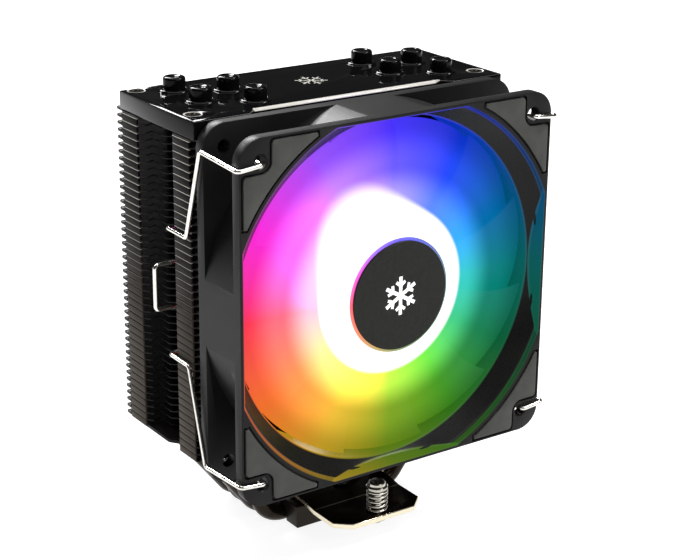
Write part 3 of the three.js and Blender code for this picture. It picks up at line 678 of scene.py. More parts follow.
@dataclass(frozen=True)
class DiscFilm(Finish):
    """The hub's black film, slightly uneven, with a satin face."""

    def paint(self, graph: Graph) -> None:
        """Draws the film's orange peel."""
        peel = graph.noise(1.2 * MM, 3.0)
        graph.set(
            Base_Color=graph.mix(peel.ramp(0.3, 0.7), srgb(27, 28, 25), srgb(33, 34, 31)),
            Roughness=0.42 + (peel - 0.5) * 0.14,
            Normal=graph.bump(peel, 0.004 * MM),
            Specular_IOR_Level=0.15,
        )


@dataclass(frozen=True)
class PrintedInk(Finish):
    """Screen-printed ink with a slightly patchy body."""

    colour: Colour = srgb(248, 248, 244)
    thin: Colour = srgb(214, 214, 208)
    light: float = 0.5

    def paint(self, graph: Graph) -> None:
        """Draws the patchy ink, which also glows by its light share: painted light that brightens the print.
        """
        body = graph.noise(0.5 * MM, 3.0)
        tone = graph.mix(body.ramp(0.45, 0.8), self.colour, self.thin)
        # Painted light: the emission makes the print brighter than the lamps alone would.
        graph.set(
            Base_Color=tone,
            Emission_Color=tone,
            Emission_Strength=self.light,
            Roughness=0.5 + (body - 0.5) * 0.2,
            Normal=graph.bump(body, 0.004 * MM),
        )


@dataclass(frozen=True)
class LayeredMetal(Finish):
    """Metal with fine lines stacked along the fan's axis: laminations, turns of wire or turning marks."""

    colour: Colour = srgb(120, 122, 126)
    groove: Colour = srgb(60, 60, 62)
    pitch_mm: float = 0.5
    depth_mm: float = 0.05
    roughness: float = 0.35

    def paint(self, graph: Graph) -> None:
        """Draws the stacked lines."""
        _, along, _ = graph.axes()
        lines = (along * (FULL_TURN / (self.pitch_mm * MM))).wave() * 0.5 + 0.5
        stain = graph.noise(2.5 * MM, 3.0)
        graph.set(
            Base_Color=graph.mix(lines, self.groove, self.colour),
            Metallic=1.0,
            Roughness=self.roughness + stain * 0.15,
            Normal=graph.bump(lines, self.depth_mm * MM),
        )


@dataclass(frozen=True)
class SpeckledSolid(Finish):
    """Pressed magnet powder, solder mask or a diode's lens: a body colour with scattered specks."""

    colour: Colour = srgb(46, 47, 51)
    speck: Colour = srgb(92, 94, 98)
    size_mm: float = 0.3
    roughness: float = 0.7
    light: float = 0.0

    def paint(self, graph: Graph) -> None:
        """Draws the specks."""
        specks = graph.noise(self.size_mm * MM, 3.0)
        tone = graph.mix(specks.ramp(0.5, 0.75), self.colour, self.speck)
        graph.set(
            Base_Color=tone,
            Emission_Color=tone,
            Emission_Strength=self.light,
            Roughness=self.roughness + (specks - 0.5) * 0.2,
            Normal=graph.bump(specks, 0.01 * MM),
        )


@dataclass(frozen=True)
class PaleFloor(Finish):
    """A pale matt sheet of paper under the cooler."""

    def paint(self, graph: Graph) -> None:
        """Draws the paper's faint tooth."""
        tooth = graph.noise(2 * MM, 2.0)
        graph.set(
            Base_Color=graph.mix(tooth, (0.3, 0.3, 0.3), (0.34, 0.34, 0.34)),
            Emission_Color=(1.0, 1.0, 1.0),
            Emission_Strength=0.9,
            Roughness=0.8,
            Specular_IOR_Level=0.1,
        )


# ---------------------------------------------------------------------------
# The bench: meshes shaped with bmesh operators
# ---------------------------------------------------------------------------
def circle(
    radius: float, sides: int, centre: Point = (0, 0), start: float = 0.0
) -> list[tuple[float, float]]:
    """Points round a circle, anticlockwise from the start angle."""
    angles = (start + FULL_TURN * i / sides for i in range(sides))
    return [(centre[0] + radius * math.cos(a), centre[1] + radius * math.sin(a)) for a in angles]


def arc(centre: Point, radius: float, start: float, end: float, steps: int) -> list[tuple[float, float]]:
    """Points along an arc, both ends included."""
    angles = (start + (end - start) * i / steps for i in range(steps + 1))
    return [(centre[0] + radius * math.cos(a), centre[1] + radius * math.sin(a)) for a in angles]


def rounded_square(half: float, corner: float, steps: int = 10) -> list[tuple[float, float]]:
    """A square outline with round corners."""
    inner = half - corner
    centres = [(inner, inner), (-inner, inner), (-inner, -inner), (inner, -inner)]
    points: list[tuple[float, float]] = []
    for quarter, centre in enumerate(centres):
        start = quarter * math.pi / 2
        points += arc(centre, corner, start, start + math.pi / 2, steps)
    return points


def rounded_route(corners: Sequence[Vector], bend: float, steps: int = 7) -> list[Vector]:
    """Rounds the corners of a bent wire or pipe with true arcs.

    Args:
        corners: The route's corners, its two ends included.
        bend: The radius of each bend, which a short leg makes smaller.
        steps: Steps in each bend.

    Returns:
        The points of the rounded route.
    """
    route = [corners[0]]
    for before, corner, after in zip(corners, corners[1:], corners[2:]):
        back, ahead = (before - corner), (after - corner)
        half = back.angle(ahead) / 2
        reach = min(bend / math.tan(half), back.length / 2.1, ahead.length / 2.1)
        radius = reach * math.tan(half)
        back, ahead = back.normalized(), ahead.normalized()
        centre = corner + (back + ahead).normalized() * (radius / math.sin(half))
        start = corner + back * reach - centre
        end = corner + ahead * reach - centre
        for i in range(steps + 1):
            route.append(centre + start.slerp(end, i / steps) * radius)
    route.append(corners[-1])
    return route


class Workpiece:
    """A mesh on the bench, shaped step by step and then finished as a piece."""

    def __init__(self) -> None:
        """Starts with an empty mesh."""
        self.mesh = bmesh.new()

    def ring(self, points: Iterable[Point], height: float = 0.0) -> list[bmesh.types.BMEdge]:
        """Draws a closed outline at a height and returns its edges."""
        corners = [self.mesh.verts.new((p[0], p[1], height)) for p in points]
        return [self.mesh.edges.new(pair) for pair in zip(corners, corners[1:] + corners[:1])]

    def plate(
        self, outer: Sequence[Point], low: float, high: float, holes: Sequence[Sequence[Point]] = (),
        bevel: float = 0.0, segments: int = 2,
    ) -> "Workpiece":
        """Adds a plate over an outline.

        Args:
            outer: The outline.
            low: Height of the underside.
            high: Height of the top.
            holes: Outlines of holes right through.
            bevel: Width of the bevel round both faces' edges.
            segments: Steps across the bevel.

        Returns:
            The workpiece.
        """
        edges = self.ring(outer, low)
        for hole in holes:
            edges += self.ring(hole, low)
        filled = bmesh.ops.triangle_fill(self.mesh, use_beauty=True, edges=edges)
        faces = [part for part in filled["geom"] if isinstance(part, bmesh.types.BMFace)]
        raised = bmesh.ops.extrude_face_region(self.mesh, geom=faces)["geom"]
        top = [part for part in raised if isinstance(part, bmesh.types.BMVert)]
        bmesh.ops.translate(self.mesh, vec=(0, 0, high - low), verts=top)
        self.mesh.normal_update()
        if bevel:
            lifted = set(top)
            rims = [e for v in top for e in v.link_edges if e.other_vert(v) in lifted]
            rims = [e for e in set(rims) if e.is_manifold and e.calc_face_angle(0) > 1]
            under = [e for e in edges if e.is_valid and e.is_manifold and e.calc_face_angle(0) > 1]
            self.bevel(rims + under, bevel, segments)
        return self

    def bevel(self, edges: Sequence[bmesh.types.BMEdge], width: float, segments: int = 2) -> None:
        """Rounds edges."""
        bmesh.ops.bevel(
            self.mesh, geom=list(edges), offset=width, offset_type="OFFSET", segments=segments,
            profile=0.5, affect="EDGES", material=-1, clamp_overlap=True,
        )

    def bevel_sharp(self, width: float, segments: int = 2, above: float = 35.0) -> "Workpiece":
        """Rounds every edge sharper than an angle in degrees."""
        self.mesh.normal_update()
        limit = math.radians(above)
        sharp = [e for e in self.mesh.edges if e.is_manifold and e.calc_face_angle(0) > limit]
        self.bevel(sharp, width, segments)
        return self

    def lathe(self, profile: Sequence[Point], steps: int, closed: bool = False) -> "Workpiece":
        """Turns a profile of radius and height about Z.

        Args:
            profile: The profile's points.
            steps: Steps round the turn.
            closed: Whether the profile returns to its first point.

        Returns:
            The workpiece.
        """
        corners = [self.mesh.verts.new((r, 0, z)) for r, z in profile]
        pairs = list(zip(corners, corners[1:])) + ([(corners[-1], corners[0])] if closed else [])
        edges = [self.mesh.edges.new(pair) for pair in pairs]
        bmesh.ops.spin(
            self.mesh, geom=corners + edges, cent=(0, 0, 0), axis=(0, 0, 1), dvec=(0, 0, 0),
            angle=FULL_TURN, steps=steps, use_merge=True, use_duplicate=False,
        )
        bmesh.ops.remove_doubles(self.mesh, verts=self.mesh.verts[:], dist=1e-7)
        return self

    def sweep(self, route: Sequence[Vector], radius: float, sides: int = 10) -> "Workpiece":
        """Draws a round section along a route, extruding and turning the end ring at each point."""
        first = (route[1] - route[0]).normalized()
        section = bmesh.ops.create_circle(
            self.mesh, cap_ends=True, radius=radius, segments=sides,
            matrix=Matrix.Translation(route[0]) @ first.to_track_quat("Z", "Y").to_matrix().to_4x4(),
        )["verts"]
        rim = list({edge for vert in section for edge in vert.link_edges})
        heading = first
        for i in range(1, len(route)):
            after = route[min(i + 1, len(route) - 1)]
            facing = (after - route[i - 1]).normalized()
            grown = bmesh.ops.extrude_edge_only(self.mesh, edges=rim)["geom"]
            section = [part for part in grown if isinstance(part, bmesh.types.BMVert)]
            rim = [part for part in grown if isinstance(part, bmesh.types.BMEdge)]
            turn = heading.rotation_difference(facing).to_matrix().to_4x4()
            step = Matrix.Translation(route[i]) @ turn @ Matrix.Translation(-route[i - 1])
            bmesh.ops.transform(self.mesh, matrix=step, verts=section)
            heading = facing
        bmesh.ops.edgeloop_fill(self.mesh, edges=rim)
        return self

    def block(self, low: Point, high: Point, bevel: float = 0.0, segments: int = 2) -> "Workpiece":
        """Adds a block between two corners, with rounded edges."""
        sizes = [b - a for a, b in zip(low, high)]
        middle = [(a + b) / 2 for a, b in zip(low, high)]
        matrix = Matrix.Translation(middle) @ Matrix.Diagonal((*sizes, 1))
        corners = bmesh.ops.create_cube(self.mesh, size=1.0, matrix=matrix)["verts"]
        if bevel:
            self.bevel(list({e for v in corners for e in v.link_edges}), bevel, segments)
        return self

    def moved(self, matrix: Matrix) -> "Workpiece":
        """Moves the whole mesh."""
        bmesh.ops.transform(self.mesh, matrix=matrix, verts=self.mesh.verts[:])
        return self

    def repeated(self, steps: Sequence[Matrix]) -> "Workpiece":
        """Copies what is on the bench once for each matrix, and leaves the first as it is."""
        source = self.mesh.verts[:] + self.mesh.edges[:] + self.mesh.faces[:]
        for matrix in steps:
            copied = bmesh.ops.duplicate(self.mesh, geom=source)["geom"]
            corners = [part for part in copied if isinstance(part, bmesh.types.BMVert)]
            bmesh.ops.transform(self.mesh, matrix=matrix, verts=corners)
        return self

    def joined(self, other: "Workpiece") -> "Workpiece":
        """Adds another workpiece's mesh to this one, without joining their surfaces."""
        held = bpy.data.meshes.new("held")
        other.mesh.to_mesh(held)
        self.mesh.from_mesh(held)
        bpy.data.meshes.remove(held)
        return self

    def squared_up(self) -> "Workpiece":
        """Merges doubles and points every face outwards."""
        bmesh.ops.remove_doubles(self.mesh, verts=self.mesh.verts[:], dist=1e-7)
        bmesh.ops.recalc_face_normals(self.mesh, faces=self.mesh.faces[:])
        return self

    def blank(self, name: str = "blank") -> bpy.types.Object:
        """Hands the mesh over as a bare object."""
        self.squared_up()
        data = bpy.data.meshes.new(name)
        self.mesh.to_mesh(data)
        self.mesh.free()
        made = bpy.data.objects.new(name, data)
        bpy.context.scene.collection.objects.link(made)
        return made

    def carved(self, mode: str, tools: Sequence["Workpiece"]) -> "Workpiece":
        """Joins, cuts or intersects this workpiece with others, one after the other.

        Args:
            mode: UNION, DIFFERENCE or INTERSECT.
            tools: The other workpieces, which are used up.

        Returns:
            A new workpiece with the result.
        """
        body = self.blank()
        others = [tool.blank() for tool in tools]
        for other in others:
            cut = body.modifiers.new(mode.lower(), "BOOLEAN")
            cut.operation = mode
            cut.solver = "EXACT"
            cut.object = other
        evaluated = body.evaluated_get(bpy.context.evaluated_depsgraph_get())
        result = Workpiece()
        result.mesh.from_mesh(evaluated.to_mesh())
        evaluated.to_mesh_clear()
        for used in [body, *others]:
            data = used.data
            bpy.data.objects.remove(used)
            bpy.data.meshes.remove(data)
        bmesh.ops.remove_doubles(result.mesh, verts=result.mesh.verts[:], dist=2e-6)
        bmesh.ops.dissolve_degenerate(result.mesh, dist=1e-6, edges=result.mesh.edges[:])
        return result

    def piece(
        self, name: str, finish: Finish, body: Body, slot: Optional[Slot] = None,
        replaces: Sequence[str] = (), sharp: float = 32.0,
    ) -> bpy.types.Object:
        """Finishes the workpiece as a piece of the cooler.

        Args:
            name: The piece's name.
            finish: Its surface finish.
            body: The body it moves with.
            slot: The record's material slot; not used.
            replaces: The frame's nodes that it stands for.
            sharp: The angle in degrees above which an edge stays crisp.

        Returns:
            The finished object.
        """
        made = self.blank(name)
        made.data.polygons.foreach_set("use_smooth", [True] * len(made.data.polygons))
        made.data.set_sharp_from_angle(angle=math.radians(sharp))
        made.data.materials.append(finish.material())
        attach(made, body.value)
        if replaces:
            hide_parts(*replaces)
        triangles = sum(len(face.vertices) - 2 for face in made.data.polygons)
        LOG.info("%s: %d triangles on %s", name, triangles, body.value)
        return made


def shift(x: float, y: float, z: float) -> Matrix:
    """A move."""
    return Matrix.Translation((x, y, z))


def snowflake(size: float, stroke: float) -> Workpiece:
    """A plain six-armed snowflake, flat at height zero and a hair thick.

    Args:
        size: Its width across the arms.
        stroke: The width of an arm.

    Returns:
        The workpiece.
    """
    half, thin = size / 2, 0.06 * MM
    flake = Workpiece()
    for i in range(3):
        bar = Workpiece().block((-half, -stroke / 2, 0), (half, stroke / 2, thin))
        flake.joined(bar.moved(Matrix.Rotation(math.pi * i / 3 + math.pi / 2, 4, "Z")))
    for i in range(6):
        for side in (-1, 1):
            twig = Workpiece().block((0, -stroke * 0.42, 0), (size * 0.17, stroke * 0.42, thin))
            twig.moved(Matrix.Rotation(math.radians(52) * side, 4, "Z"))
            twig.moved(shift(size * 0.26, 0, 0))
            flake.joined(twig.moved(Matrix.Rotation(math.pi * i / 3 + math.pi / 2, 4, "Z")))
    return flake


def cross_recess(reach: float, width: float, depth: float, face: float) -> list[Workpiece]:
    """The two tapered slots of a cross-head recess, sunk from a face at that height."""
    slots = []
    for turn in (0.0, math.pi / 2):
        slot = Workpiece().block((-reach, -width / 2, face - depth), (reach, width / 2, face + width))
        for vert in slot.mesh.verts:
            if vert.co.z < face:
                vert.co.x *= 0.45
        slots.append(slot.moved(Matrix.Rotation(turn + 0.5, 4, "Z")))
    return slots


# ---------------------------------------------------------------------------
# Sub-assemblies
# ---------------------------------------------------------------------------
@dataclass
class FinTower:
    """The stack of thin black fins, tied together by folded tabs at the four side columns."""

    sheets: int = 45
    sheet_thickness: float = 0.4 * MM
    tab_gap: float = 0.16 * MM
    tab_proud: float = 0.25 * MM
    groove_depth: float = 7.2 * MM
    column_start: float = 2.8 * MM
    column_length: float = 10.2 * MM
    rear_tooth: float = 3.2 * MM
    tooth: float = 1.25 * MM
    recess_depth: float = 4.3 * MM
    recess_half: float = 35.5 * MM
    coat: CoatedMetal = CoatedMetal("fin_coat", srgb(17, 16, 16), srgb(27, 25, 23), 0.3, 0.1, 0.5)
    # The tabs' coat is painted lighter on the lower tabs as floor light, and it carries painted highlights
    # along the upper folds.
    tab_coat: CoatedMetal = CoatedMetal(
        "tab_coat", srgb(6, 5, 5), srgb(74, 67, 60), 0.5, 0.0, 0.5, specular=0.06, low_mm=52.0, high_mm=118.0,
        fold_start_mm=36.2, fold_pitch_mm=2.4446,
    )

    def __post_init__(self) -> None:
        """Reads the tower's box from the frame."""
        self.low, self.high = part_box("fin_stack")

    @property
    def pitch(self) -> float:
        """Height from one sheet to the next."""
        return (self.high.z - self.low.z - self.sheet_thickness) / (self.sheets - 1)

    def columns(self) -> list[tuple[float, float]]:
        """The front and rear columns' first and last Y."""
        front = self.low.y + self.column_start
        rear_end = self.high.y - self.rear_tooth
        return [(front, front + self.column_length), (rear_end - self.column_length, rear_end)]

    def half_outline(self) -> list[tuple[float, float]]:
        """The right half of a sheet's outline, from the front round to the rear."""
        side, low, high = self.high.x, self.low.y, self.high.y
        groove = side - self.groove_depth
        (front_start, front_end), (rear_start, rear_end) = self.columns()
        recess = low + self.recess_depth
        shelf = groove + 2.3 * MM
        return [
            (self.recess_half, recess),
            (self.recess_half + self.recess_depth, low),
            (side - self.column_start, low),
            (side, front_start),
            (side, front_end),
            (groove, front_end + 0.8 * MM),
            (groove, rear_start - 10.6 * MM),
            (shelf, rear_start - 8.6 * MM),
            (shelf, rear_start - 0.8 * MM),
            (side - 1.6 * MM, rear_start - 2.4 * MM),
            (side, rear_start),
            (side, rear_end),
            (side - self.rear_tooth / 2, high),
        ]

    def outline(self) -> list[tuple[float, float]]:
        """A sheet's whole outline."""
        half = self.half_outline()
        return half + [(-x, y) for x, y in reversed(half)]

    def build_sheets(self) -> bpy.types.Object:
        """Makes the sheets."""
        pipe_holes = [circle(3.25 * MM, 14, spot) for spot in pipe_spots()]
        work = Workpiece().plate(
            self.outline(), self.low.z, self.low.z + self.sheet_thickness, pipe_holes
        )
        work.repeated([shift(0, 0, self.pitch * i) for i in range(1, self.sheets)])
        return work.piece("fin_sheets", self.coat, Body.COOLER, Slot.BLACK_COAT, ["fin_stack"])

    def build_tabs(self) -> bpy.types.Object:
        """Makes the folded tabs between the sheets, with painted highlights along their upper folds and
        painted floor light on the lower tabs.
        """
        work = Workpiece()
        side = self.high.x
        for start, end in self.columns():
            for sign in (-1, 1):
                xs = sorted((sign * (side - 0.5 * MM), sign * (side + self.tab_proud)))
                work.block(
                    (xs[0], start, self.low.z + self.tab_gap),
                    (xs[1], end, self.low.z + self.pitch - self.tab_gap / 2),
                    0.22 * MM,
                )
        work.repeated([shift(0, 0, self.pitch * i) for i in range(1, self.sheets - 1)])
        return work.piece("fin_tabs", self.tab_coat, Body.COOLER, Slot.BLACK_COAT, ["fin_stack"])

    def build_teeth(self) -> None:
        """Makes the folded teeth behind the rear columns and in front of the front ones."""
        work = Workpiece()
        side, low, high = self.high.x, self.low.y, self.high.y
        (front_start, _), (_, rear_end) = self.columns()
        for sign in (-1, 1):
            for start, end, out in ((rear_end - 0.6 * MM, high + 0.9 * MM, side - 0.1 * MM),
                                    (low + 0.1 * MM, front_start + 0.4 * MM, side - 1.1 * MM)):
                xs = sorted((sign * (out - 2.4 * MM), sign * out))
                work.block((xs[0], start, self.low.z), (xs[1], end, self.low.z + self.tooth), 0.5 * MM)
        work.repeated([shift(0, 0, self.pitch * i) for i in range(1, self.sheets)])
        work.piece("fin_teeth", self.coat, Body.COOLER, Slot.BLACK_COAT, ["fin_stack"])

    def build_foot(self) -> None:
        """Makes the lowest sheet's side lips, which close the grooves from below."""
        work = Workpiece()
        side = self.high.x - 0.2 * MM
        (_, front_end), (rear_start, _) = self.columns()
        inner = side - self.groove_depth - 1 * MM
        for sign in (-1, 1):
            lip = [(inner, rear_start + 1 * MM), (side, rear_start + 1 * MM), (side, front_end + 8.2 * MM),
                   (side - 0.6 * MM, front_end + 7.2 * MM), (side - 2.4 * MM, front_end + 4.8 * MM),
                   (side - 2.6 * MM, front_end + 0.5 * MM), (inner, front_end + 0.5 * MM)]
            points = [(sign * x, y) for x, y in lip]
            work.plate(points, self.low.z - 0.1 * MM, self.low.z + 0.9 * MM)
        work.piece("fin_foot", self.coat, Body.COOLER, Slot.BLACK_COAT, ["fin_stack"])

    def build(self) -> None:
        """Makes the whole tower."""
        self.build_sheets()
        self.build_tabs()
        self.build_teeth()
        self.build_foot()


def pipe_spots() -> list[tuple[float, float]]:
    """The centre of every upright pipe leg, from the caps over them."""
    spots = []
    for i in range(1, 9):
        low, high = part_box(f"pipe_cap_{i}")
        spots.append(((low.x + high.x) / 2, (low.y + high.y) / 2))
    return spots


@dataclass
class HeatPipes:
    """Four U-shaped pipes that run through the base and up through the fins."""

    radius: float = 3 * MM
    bend: float = 9 * MM
    slant: float = math.radians(52)
    centre_z: float = 2.6 * MM
    lead: float = 0.4 * MM
    sides: int = 20
    coat: CoatedMetal = CoatedMetal("pipe_coat", srgb(31, 27, 24), srgb(46, 40, 34), 0.24, 0.85, 0.6, 0.006)

    def corners(self, row: float, left: float, right: float, top: float) -> list[Vector]:
        """The corners of one pipe's route."""
        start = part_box("base_block")[1].x + self.lead
        route = []
        for leg in (left, right):
            side, reach = math.copysign(1, leg), abs(leg)
            if reach > start + self.bend + 0.5 * MM:
                foot = start + self.bend * math.tan(self.slant / 2)
                rise = (reach - foot) * math.tan(self.slant)
                points = [(foot, self.centre_z), (reach, self.centre_z + rise), (reach, top)]
            else:
                points = [(reach, self.centre_z), (reach, top)]
            route.append([Vector((side * x, row, z)) for x, z in points])
        return list(reversed(route[0])) + route[1]

    def build(self) -> None:
        """Makes the pipes, ground flat where they meet the processor."""
        spots = pipe_spots()
        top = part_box("pipe_cap_1")[1].z - 1.2 * MM
        for i in range(4):
            (left, row), (right, _) = spots[2 * i], spots[2 * i + 1]
            route = rounded_route(self.corners(row, left, right, top), self.bend, 10)
            work = Workpiece().sweep(route, self.radius, self.sides)
            for vert in work.mesh.verts:
                vert.co.z = max(vert.co.z, 0.0)
            name = f"heat_pipe_{i + 1}"
            work.piece(f"pipe_{i + 1}", self.coat, Body.COOLER, Slot.PIPE_BLACK, [name], sharp=40)


@dataclass
class Base:
    """The machined block that holds the pipes."""

    bevel: float = 0.5 * MM
    groove: float = 3.3 * MM
    coat: CoatedMetal = CoatedMetal("base_coat", srgb(34, 31, 29), srgb(46, 42, 38), 0.3, 0.7, 0.4)

    def build(self) -> None:
        """Makes the block with its four open channels and two tapped holes."""
        low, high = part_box("base_block")
        block = Workpiece().block(low, high, self.bevel, 3)
        channels = []
        for i in range(1, 5):
            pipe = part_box(f"heat_pipe_{i}")
            row = (pipe[0].y + pipe[1].y) / 2
            channel = Workpiece().sweep(
                [Vector((low.x - 1 * MM, row, 2.6 * MM)), Vector((high.x + 1 * MM, row, 2.6 * MM))],
                self.groove, 24,
            )
            channels.append(channel)
            channels.append(
                Workpiece().block((low.x - 1 * MM, row - self.groove, -1 * MM),
                                  (high.x + 1 * MM, row + self.groove, 2.6 * MM))
            )
        for name in ("bar_screw_1", "bar_screw_2"):
            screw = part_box(name)
            middle = (screw[0] + screw[1]) / 2
            wide, under, over = 1.75 * MM, 4.4 * MM, 9 * MM
            tool = Workpiece().lathe([(0, under), (wide, under), (wide, over), (0, over)], 20)
            channels.append(tool.moved(shift(middle.x, middle.y, 0)))
        block.carved("DIFFERENCE", channels).piece(
            "base", self.coat, Body.COOLER, Slot.BLACK_COAT, ["base_block"]
        )


@dataclass
class TopCover:
    """The glossy cover over the fins, with its screws, the eight pipe caps and a plain snowflake."""

    recess_depth: float = 4.3 * MM
    recess_half: float = 35.5 * MM
    wall: float = 1.2 * MM
    plate: float = 1.3 * MM
    edge: float = 0.5 * MM
    chamfer: float = 1.1 * MM
    cap_radius: float = 3.7 * MM
    collar_radius: float = 5.3 * MM
    collar_height: float = 0.5 * MM
    flake: float = 11 * MM
    # The cover's lacquer and the screws' black paint highlights on their bevelled edges.
    lacquer: GlossBlack = GlossBlack("cover_lacquer", edge_highlight_share=0.8)
    cap_lacquer: GlossBlack = GlossBlack("cap_lacquer", srgb(12, 11, 11), 0.1)
    screw_black: GlossBlack = GlossBlack("cover_screw_black", srgb(24, 22, 20), 0.16, edge_highlight_share=0.5)
    ink: PrintedInk = PrintedInk("cover_line", srgb(168, 164, 156), srgb(120, 116, 110), 0.12)

    def half_outline(self, low: Vector, high: Vector, inset: float) -> list[tuple[float, float]]:
        """The right half of the cover's outline, drawn in from the edge by an inset."""
        recess = low.y + self.recess_depth
        lean = inset * 0.4
        return [
            (self.recess_half - lean, recess + inset),
            (self.recess_half + self.recess_depth - lean, low.y + inset),
            (high.x - inset, low.y + inset),
            (high.x - inset, high.y - inset),
        ]

    def outline(self, low: Vector, high: Vector, inset: float = 0.0) -> list[tuple[float, float]]:
        """The whole outline."""
        half = self.half_outline(low, high, inset)
        return half + [(-x, y) for x, y in reversed(half)]

    def build_cover(self) -> None:
        """Makes the hollow cover with its bevelled rim, cap holes and countersinks."""
        low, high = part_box("top_cover")
        shell = Workpiece().plate(self.outline(low, high), low.z, high.z)
        shell.mesh.normal_update()
        recess = low.y + self.recess_depth
        rim, front = [], []
        for edge in shell.mesh.edges:
            if edge.calc_face_angle(0) < 0.5:
                continue
            level = all(abs(v.co.z - high.z) < 1e-6 for v in edge.verts)
            inside = all(abs(v.co.y - recess) < 1e-6 for v in edge.verts)
            (front if level and inside else rim).append(edge)
        shell.bevel(front, self.chamfer, 1)
        shell.mesh.normal_update()
        notch = recess + self.chamfer * 1.2
        rim = [
            e for e in shell.mesh.edges
            if e.calc_face_angle(0) > 0.5
            and not all(v.co.y < notch and abs(v.co.x) < self.recess_half for v in e.verts)
        ]
        shell.bevel(rim, self.edge, 2)
        inner = Workpiece().plate(self.outline(low, high, self.wall), low.z - 1 * MM, high.z - self.plate)
        tools = [inner]
        for x, y in pipe_spots():
            hole = Workpiece().lathe(
                [(0, low.z), (self.cap_radius + 0.25 * MM, low.z),
                 (self.cap_radius + 0.25 * MM, high.z + 1 * MM), (0, high.z + 1 * MM)], 32)
            tools.append(hole.moved(shift(x, y, 0)))
        for i in range(1, 5):
            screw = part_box(f"cover_screw_{i}")
            middle = (screw[0] + screw[1]) / 2
            sink = Workpiece().lathe(
                [(0, low.z), (1.7 * MM, low.z), (1.7 * MM, high.z - 1.4 * MM),
                 (3.05 * MM, high.z - 0.05 * MM), (3.25 * MM, high.z + 0.02 * MM),
                 (3.25 * MM, high.z + 1 * MM), (0, high.z + 1 * MM)], 32)
            tools.append(sink.moved(shift(middle.x, middle.y, 0)))
        shell.carved("DIFFERENCE", tools).piece(
            "cover", self.lacquer, Body.COOLER, Slot.GLOSS_BLACK, ["top_cover"]
        )
        mark = snowflake(self.flake, 0.55 * MM).moved(shift(0, (recess + high.y) / 2, high.z))
        mark.piece("cover_snowflake", self.ink, Body.COOLER, Slot.GLOSS_BLACK)

    def build_caps(self) -> None:
        """Makes the eight caps and the rolled collar at the foot of each."""
        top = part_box("top_cover")[1].z
        for i, (x, y) in enumerate(pipe_spots(), 1):
            low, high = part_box(f"pipe_cap_{i}")
            rim = 0.9 * MM
            profile = [(3.3 * MM, low.z), (self.cap_radius, low.z), (self.cap_radius, high.z - rim)]
            profile += arc((self.cap_radius - rim, high.z - rim), rim, 0, math.pi / 2, 6)[1:]
            dish, under = high.z - 0.12 * MM, high.z - 0.9 * MM
            profile += [(self.cap_radius - 1.6 * MM, high.z), (self.cap_radius - 1.75 * MM, dish),
                        (0, dish), (0, under), (3.3 * MM, under)]
            cap = Workpiece().lathe(profile, 48, closed=True).moved(shift(x, y, 0))
            cap.piece(f"cap_{i}", self.cap_lacquer, Body.COOLER, Slot.GLOSS_BLACK, [f"pipe_cap_{i}"], 40)
            foot = self.cap_radius + 0.05 * MM
            ring = [(foot, top), (self.collar_radius, top),
                    (self.collar_radius - 0.15 * MM, top + 0.25 * MM),
                    (self.collar_radius - 0.5 * MM, top + self.collar_height),
                    (foot + 0.5 * MM, top + self.collar_height), (foot, top + 0.2 * MM)]
            collar = Workpiece().lathe(ring, 48, closed=True).moved(shift(x, y, 0))
            collar.piece(f"cap_collar_{i}", self.cap_lacquer, Body.COOLER, Slot.GLOSS_BLACK, sharp=50)

    def build_screws(self) -> None:
        """Makes the four countersunk cross-head screws."""
        for i in range(1, 5):
            low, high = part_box(f"cover_screw_{i}")
            middle = (low + high) / 2
            top = high.z - 0.1 * MM
            shank = 1.45 * MM
            profile = [(0, low.z), (1.3 * MM, low.z), (shank, low.z + 0.2 * MM), (shank, top - 1.3 * MM),
                       (2.6 * MM, top - 0.15 * MM), (2.5 * MM, top), (0, top + 0.12 * MM)]
            head = Workpiece().lathe(profile, 40)
            cut = head.carved("DIFFERENCE", cross_recess(1.5 * MM, 0.55 * MM, 1.0 * MM, top + 0.1 * MM))
            cut.moved(shift(middle.x, middle.y, 0)).piece(
                f"cover_screw_head_{i}", self.screw_black, Body.COOLER, Slot.DARK_NICKEL, [f"cover_screw_{i}"]
            )

    def build(self) -> None:
        """Makes the cover and everything on it."""
        self.build_cover()
        self.build_caps()
        self.build_screws()


class End(str, Enum):
    """The two ends of the mounting bar."""

    FRONT = "front"
    REAR = "rear"


